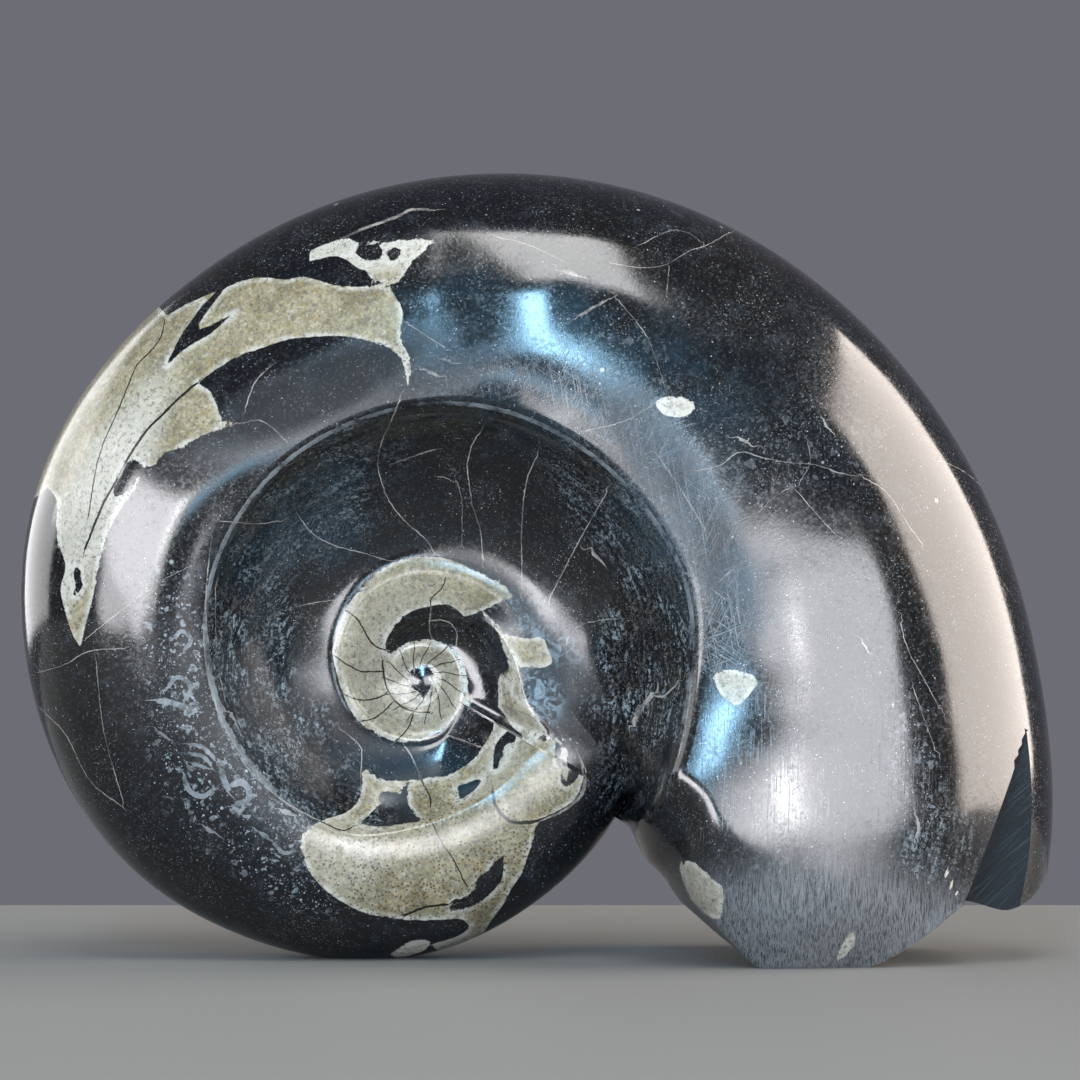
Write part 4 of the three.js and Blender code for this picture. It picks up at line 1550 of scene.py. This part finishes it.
    def polar(self, around: float, outward: float) -> bpy.types.NodeSocket:
        """Turns places into arc length and distance from the coil axis, scaled.

        Args:
            around: Scale along the coil, per radian.
            outward: Scale away from the axis, per millimetre.

        Returns:
            A vector for a texture.
        """
        parts = self.add("ShaderNodeSeparateXYZ", None, {"Vector": self.spot}, output="X")
        height = parts.node.outputs["Z"]
        across = self.add(MATHS, {"operation": "SUBTRACT"}, {0: parts, 1: self.axis[0]})
        above = self.add(MATHS, {"operation": "SUBTRACT"}, {0: height, 1: self.axis[1]})
        way = self.add(MATHS, {"operation": "ARCTAN2"}, {0: above, 1: across})
        flat = self.add("ShaderNodeCombineXYZ", None, {"X": across, "Y": above})
        far = self.add(VECTOR, {"operation": "LENGTH"}, {"Vector": flat}, output="Value")
        return self.add("ShaderNodeCombineXYZ", None, {
            "X": self.both(way, around), "Y": self.both(far, outward),
        })

    def rubble(self) -> bpy.types.NodeSocket:
        """Draws lime rubble: streaks along the umbilicus wall, 1 by 5 mm, broken up by finer crumbs.

        Returns:
            The mask of the rubble.
        """
        streak = self.add(NOISE, None, {
            "Vector": self.polar(7.0, 0.8), "Scale": 1.0, "Detail": 7.0, "Roughness": 0.78, "Distortion": 0.5,
        })
        shown = self.add(RANGE, EASED, {"Value": streak, "From Min": 0.44, "From Max": 0.56})
        crumbs = self.noise(1.25, 0.46, 0.6, 0.95, 6.0, 0.75)
        return self.both(self.both(shown, crumbs), self.marks["rubble"])

    def scuffs(self) -> dict[str, bpy.types.NodeSocket]:
        """Draws the scratches of each kind of wear, 0.2 mm wide, as coarse as they show.

        Returns:
            A mask for each kind of wear.
        """
        drawn = {}
        for kind, tilts, low, high in (
            ("scratched", (64, 100, 22, -35), 0.57, 0.7), ("brushed", (88,), 0.55, 0.75),
            ("coarse", (84, 95), 0.42, 0.62), ("sawn", (40, 48), 0.56, 0.76),
        ):
            found = None
            for tilt in tilts:
                turned = self.add("ShaderNodeMapping", {"vector_type": "TEXTURE"}, {
                    "Vector": self.spot, "Rotation": (0, -math.radians(tilt), 0), "Scale": (16.0, 1.0, 0.2),
                })
                grain = self.add(NOISE, None, {
                    "Vector": turned, "Scale": 1.0, "Detail": 2.0, "Roughness": 0.7,
                })
                shown = self.add(RANGE, EASED, {"Value": grain, "From Min": low, "From Max": high})
                found = self.add(MATHS, MOST, {0: found, 1: shown}) if found else shown
            drawn[kind] = self.both(found, self.marks[kind])
        return drawn

    def calcite_colour(self, edge: bpy.types.NodeSocket, line: bpy.types.NodeSocket) -> bpy.types.NodeSocket:
        """Colours the calcite.

        Args:
            edge: Distance to the edge of the calcite.
            line: Mask of the septa.

        Returns:
            Its colour.
        """
        look, marks = self.calcite, self.marks
        colour = self.layer(linear(look.cream), self.noise(0.14, 0.42, 0.62, 0.8), look.olive)
        colour = self.layer(colour, self.noise(0.8, 0.5, 0.62, 0.6, 6.0, 0.75), look.ochre)
        # Crystal grains of about 1.3 and 0.5 mm, each a little lighter or darker.
        for scale, least, most in ((0.8, 0.82, 1.16), (2.0, 0.72, 1.22)):
            grain = self.add(CELLS, None, {"Vector": self.spot, "Scale": scale}, output="Color")
            shade = self.add(RANGE, None, {"Value": grain, "To Min": least, "To Max": most})
            colour = self.add(VECTOR, {"operation": "SCALE"}, {"Vector": colour, "Scale": shade})
        milky = self.noise(0.9, 0.5, 0.68, 0.6, 7.0, 0.78)
        rimmed = self.add(RANGE, EASED, {"Value": edge, "From Min": -1.3, "From Max": -0.2, "To Max": 0.85})
        rimmed = self.both(rimmed, self.noise(0.3, 0.35, 0.55))
        lighter = self.add(MATHS, MOST, {0: milky, 1: rimmed})
        # White flecks, milky grains and rims, and painted highlights are all laid as whiter calcite.
        whiter = self.add(MATHS, {"operation": "MULTIPLY_ADD", "use_clamp": True}, {
            0: marks["whiter"], 1: 0.8, 2: lighter,
        })
        colour = self.layer(colour, whiter, look.white)
        colour = self.layer(colour, self.noise(1.1, 0.52, 0.62, 0.75, 6.0, 0.78), look.grey)
        colour = self.layer(colour, self.dots(), look.dot)
        return self.layer(colour, line, look.seam)

    def dots(self) -> bpy.types.NodeSocket:
        """Dots the calcite with brown pores of about 0.4 mm between its grains.

        Returns:
            The mask of the pores.
        """
        near = self.add(CELLS, None, {"Vector": self.spot, "Scale": 1.3, "Randomness": 0.9})
        pore = self.add(RANGE, EASED, {"Value": near, "From Min": 0.42, "From Max": 0.16})
        amount = self.add(MATHS, {"operation": "MULTIPLY_ADD", "use_clamp": True}, {
            0: self.marks["stipple"], 1: 1.0, 2: 0.3,
        })
        return self.both(self.both(pore, self.noise(0.5, 0.26, 0.46, 0.9, 3.0)), amount)

    def relief(self) -> bpy.types.NodeSocket:
        """Gives the slow waves that hand lapping leaves, and the grit marks of its coarse places.

        Returns:
            The bent normal.
        """
        waves = self.add(NOISE, None, {"Vector": self.spot, "Scale": 0.05, "Detail": 1.0})
        slow = self.add("ShaderNodeBump", None, {"Strength": 1.0, "Distance": 0.25 * MM, "Height": waves})
        fine = self.add(NOISE, None, {"Vector": self.spot, "Scale": 1.5, "Detail": 2.0, "Roughness": 0.6})
        fine = self.add("ShaderNodeBump", None, {
            "Strength": 1.0, "Distance": 0.006 * MM, "Height": fine, "Normal": slow,
        })
        grit = None
        for marks in self.scratches.values():
            grit = self.add(MATHS, MOST, {0: grit, 1: marks}) if grit else marks
        return self.add("ShaderNodeBump", None, {
            "Strength": 0.5, "Distance": 0.03 * MM, "Height": grit, "Normal": fine,
        })


@dataclass(frozen=True)
class SoftBox:
    """A rectangular light that faces the shell, by the way it lies from there.

    Azimuth runs from straight in front towards the mouth's side, and a lean turns the box about
    the line to the shell, with its top towards larger azimuths.
    """

    name: str
    azimuth: float
    elevation: float
    distance: float
    size: Point
    radiance: float
    colour: str = "#ffffff"
    lean: float = 0.0


@dataclass
class Studio:
    """The floor, the lights and the camera; sizes are millimetres and angles degrees."""

    floor_depth: Point = (-300.0, 171.0)
    floor_half_width: float = 700.0
    floor_gap: float = 0.02
    floor_roughness: float = 0.6
    floor_colour: str = "#5c5d5b"
    surround_colour: str = "#6d6d75"
    look_at: tuple[float, float, float] = (0.0, 0.0, 70.0)
    camera_at: tuple[float, float, float] = (0.48, -1200.0, 80.9)
    lens: float = 206.2
    sensor: float = 36.0
    lights: tuple[SoftBox, ...] = (
        SoftBox("front_box", 19.5, 2.2, 2200, (1720, 820), 10.0, "#f8f9ff", -14),
        SoftBox("front_glow", 12.5, 3.5, 2100, (190, 380), 3.5, "#ffffff", -24),
        SoftBox("bright_line", 12.8, 2.5, 2000, (40, 330), 50.0, "#ffffff", -28),
        SoftBox("left_front", -31, 1.6, 2200, (1303, 640), 14.0, "#fbfaff", 30),
        SoftBox("left_low", -38, -8.4, 2200, (700, 260), 9.0, "#fbfaff", 30),
        SoftBox("low_core", -15.5, -5, 2100, (150, 480), 9.0, "#ffffff", 11),
        SoftBox("right_box", 88, 20, 1600, (1800, 1400), 8.8, "#fff3ea", -8),
        SoftBox("left_box", -77, 21, 1600, (1600, 560), 3.6),
        SoftBox("left_back", -120, 14, 1600, (1500, 1100), 3.2),
        SoftBox("top_box", 4, 60, 2400, (1020, 1290), 9.0),
        SoftBox("blue_strip", -6.4, 24, 2000, (200, 980), 40.0, "#9fd2f4", -8),
        SoftBox("blue_low", -10, -1.5, 2000, (120, 180), 9.0, "#9fd2f4"),
    )

    def build_floor(self) -> bpy.types.Object:
        """Makes the plain floor that the shell stands on.

        Returns:
            The floor's mesh object.
        """
        bpy.ops.object.select_all(action="DESELECT")
        bpy.ops.mesh.primitive_plane_add(size=1)
        floor = bpy.context.object
        floor.name = "studio_floor"
        low, high = self.floor_depth
        bpy.ops.object.mode_set(mode="EDIT")
        bpy.ops.mesh.select_all(action="SELECT")
        bpy.ops.transform.resize(value=(2 * self.floor_half_width * MM, (high - low) * MM, 1))
        bpy.ops.transform.translate(value=(0, (high + low) / 2 * MM, -self.floor_gap * MM))
        bpy.ops.object.mode_set(mode="OBJECT")
        # Painted board, rolled flat: it takes soft contact shadows and hardly a reflection.
        material = bpy.data.materials.new("matte_floor")
        material.use_nodes = True
        shader = material.node_tree.nodes["Principled BSDF"]
        shader.inputs["Base Color"].default_value = linear(self.floor_colour)
        shader.inputs["Roughness"].default_value = self.floor_roughness
        floor.data.materials.append(material)
        return floor

    def place_lights(self) -> None:
        """Places the soft boxes and gives the room its even grey."""
        for box in self.lights:
            side, up = math.radians(box.azimuth), math.radians(box.elevation)
            way = Vector((math.sin(side) * math.cos(up), -math.cos(side) * math.cos(up), math.sin(up)))
            at = (Vector(self.look_at) + way * box.distance) * MM
            turn = way.to_track_quat("Z", "Y") @ Quaternion((0, 0, 1), -math.radians(box.lean))
            bpy.ops.object.light_add(type="AREA", location=at, rotation=turn.to_euler())
            light = bpy.context.object
            light.name = box.name
            light.data.shape = "RECTANGLE"
            light.data.size, light.data.size_y = box.size[0] * MM, box.size[1] * MM
            light.data.color = linear(box.colour)[:3]
            # An area light's power in watts is four times its radiance times its area.
            light.data.energy = 4 * box.radiance * light.data.size * light.data.size_y
        world = bpy.data.worlds.new("grey_room")
        world.use_nodes = True
        world.node_tree.nodes["Background"].inputs["Color"].default_value = linear(self.surround_colour)
        bpy.context.scene.world = world

    def place_camera(self) -> None:
        """Places the level camera in front of the near flank."""
        bpy.ops.object.camera_add(
            location=[c * MM for c in self.camera_at], rotation=(math.radians(90), 0, 0)
        )
        camera = bpy.context.object
        camera.name = "camera"
        camera.data.lens = self.lens
        camera.data.sensor_width = self.sensor
        bpy.context.scene.camera = camera
        bpy.context.scene.view_settings.view_transform = "Standard"


def main() -> None:
    """Builds the shell, the floor, the lights and the camera."""
    logging.basicConfig(level=logging.INFO, format="%(name)s: %(message)s")
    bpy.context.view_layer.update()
    carver = ShellCarver()
    shell = carver.build()
    LOG.info("%s: %d vertices", shell.name, len(shell.data.vertices))
    markings = ShellMarkings(carver.form, carver.slot)
    markings.mark(shell)
    surface = ShellSurface(carver.form.axis, markings.channels)
    shell.data.materials.append(surface.build())
    LOG.info("%s: dressed in %s", shell.name, surface.name)
    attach(shell, "root")
    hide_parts(NODE)
    studio = Studio()
    studio.build_floor()
    studio.place_lights()
    studio.place_camera()
    LOG.info("studio: %d lights", len(studio.lights))


if __name__ == "__main__":
    main()
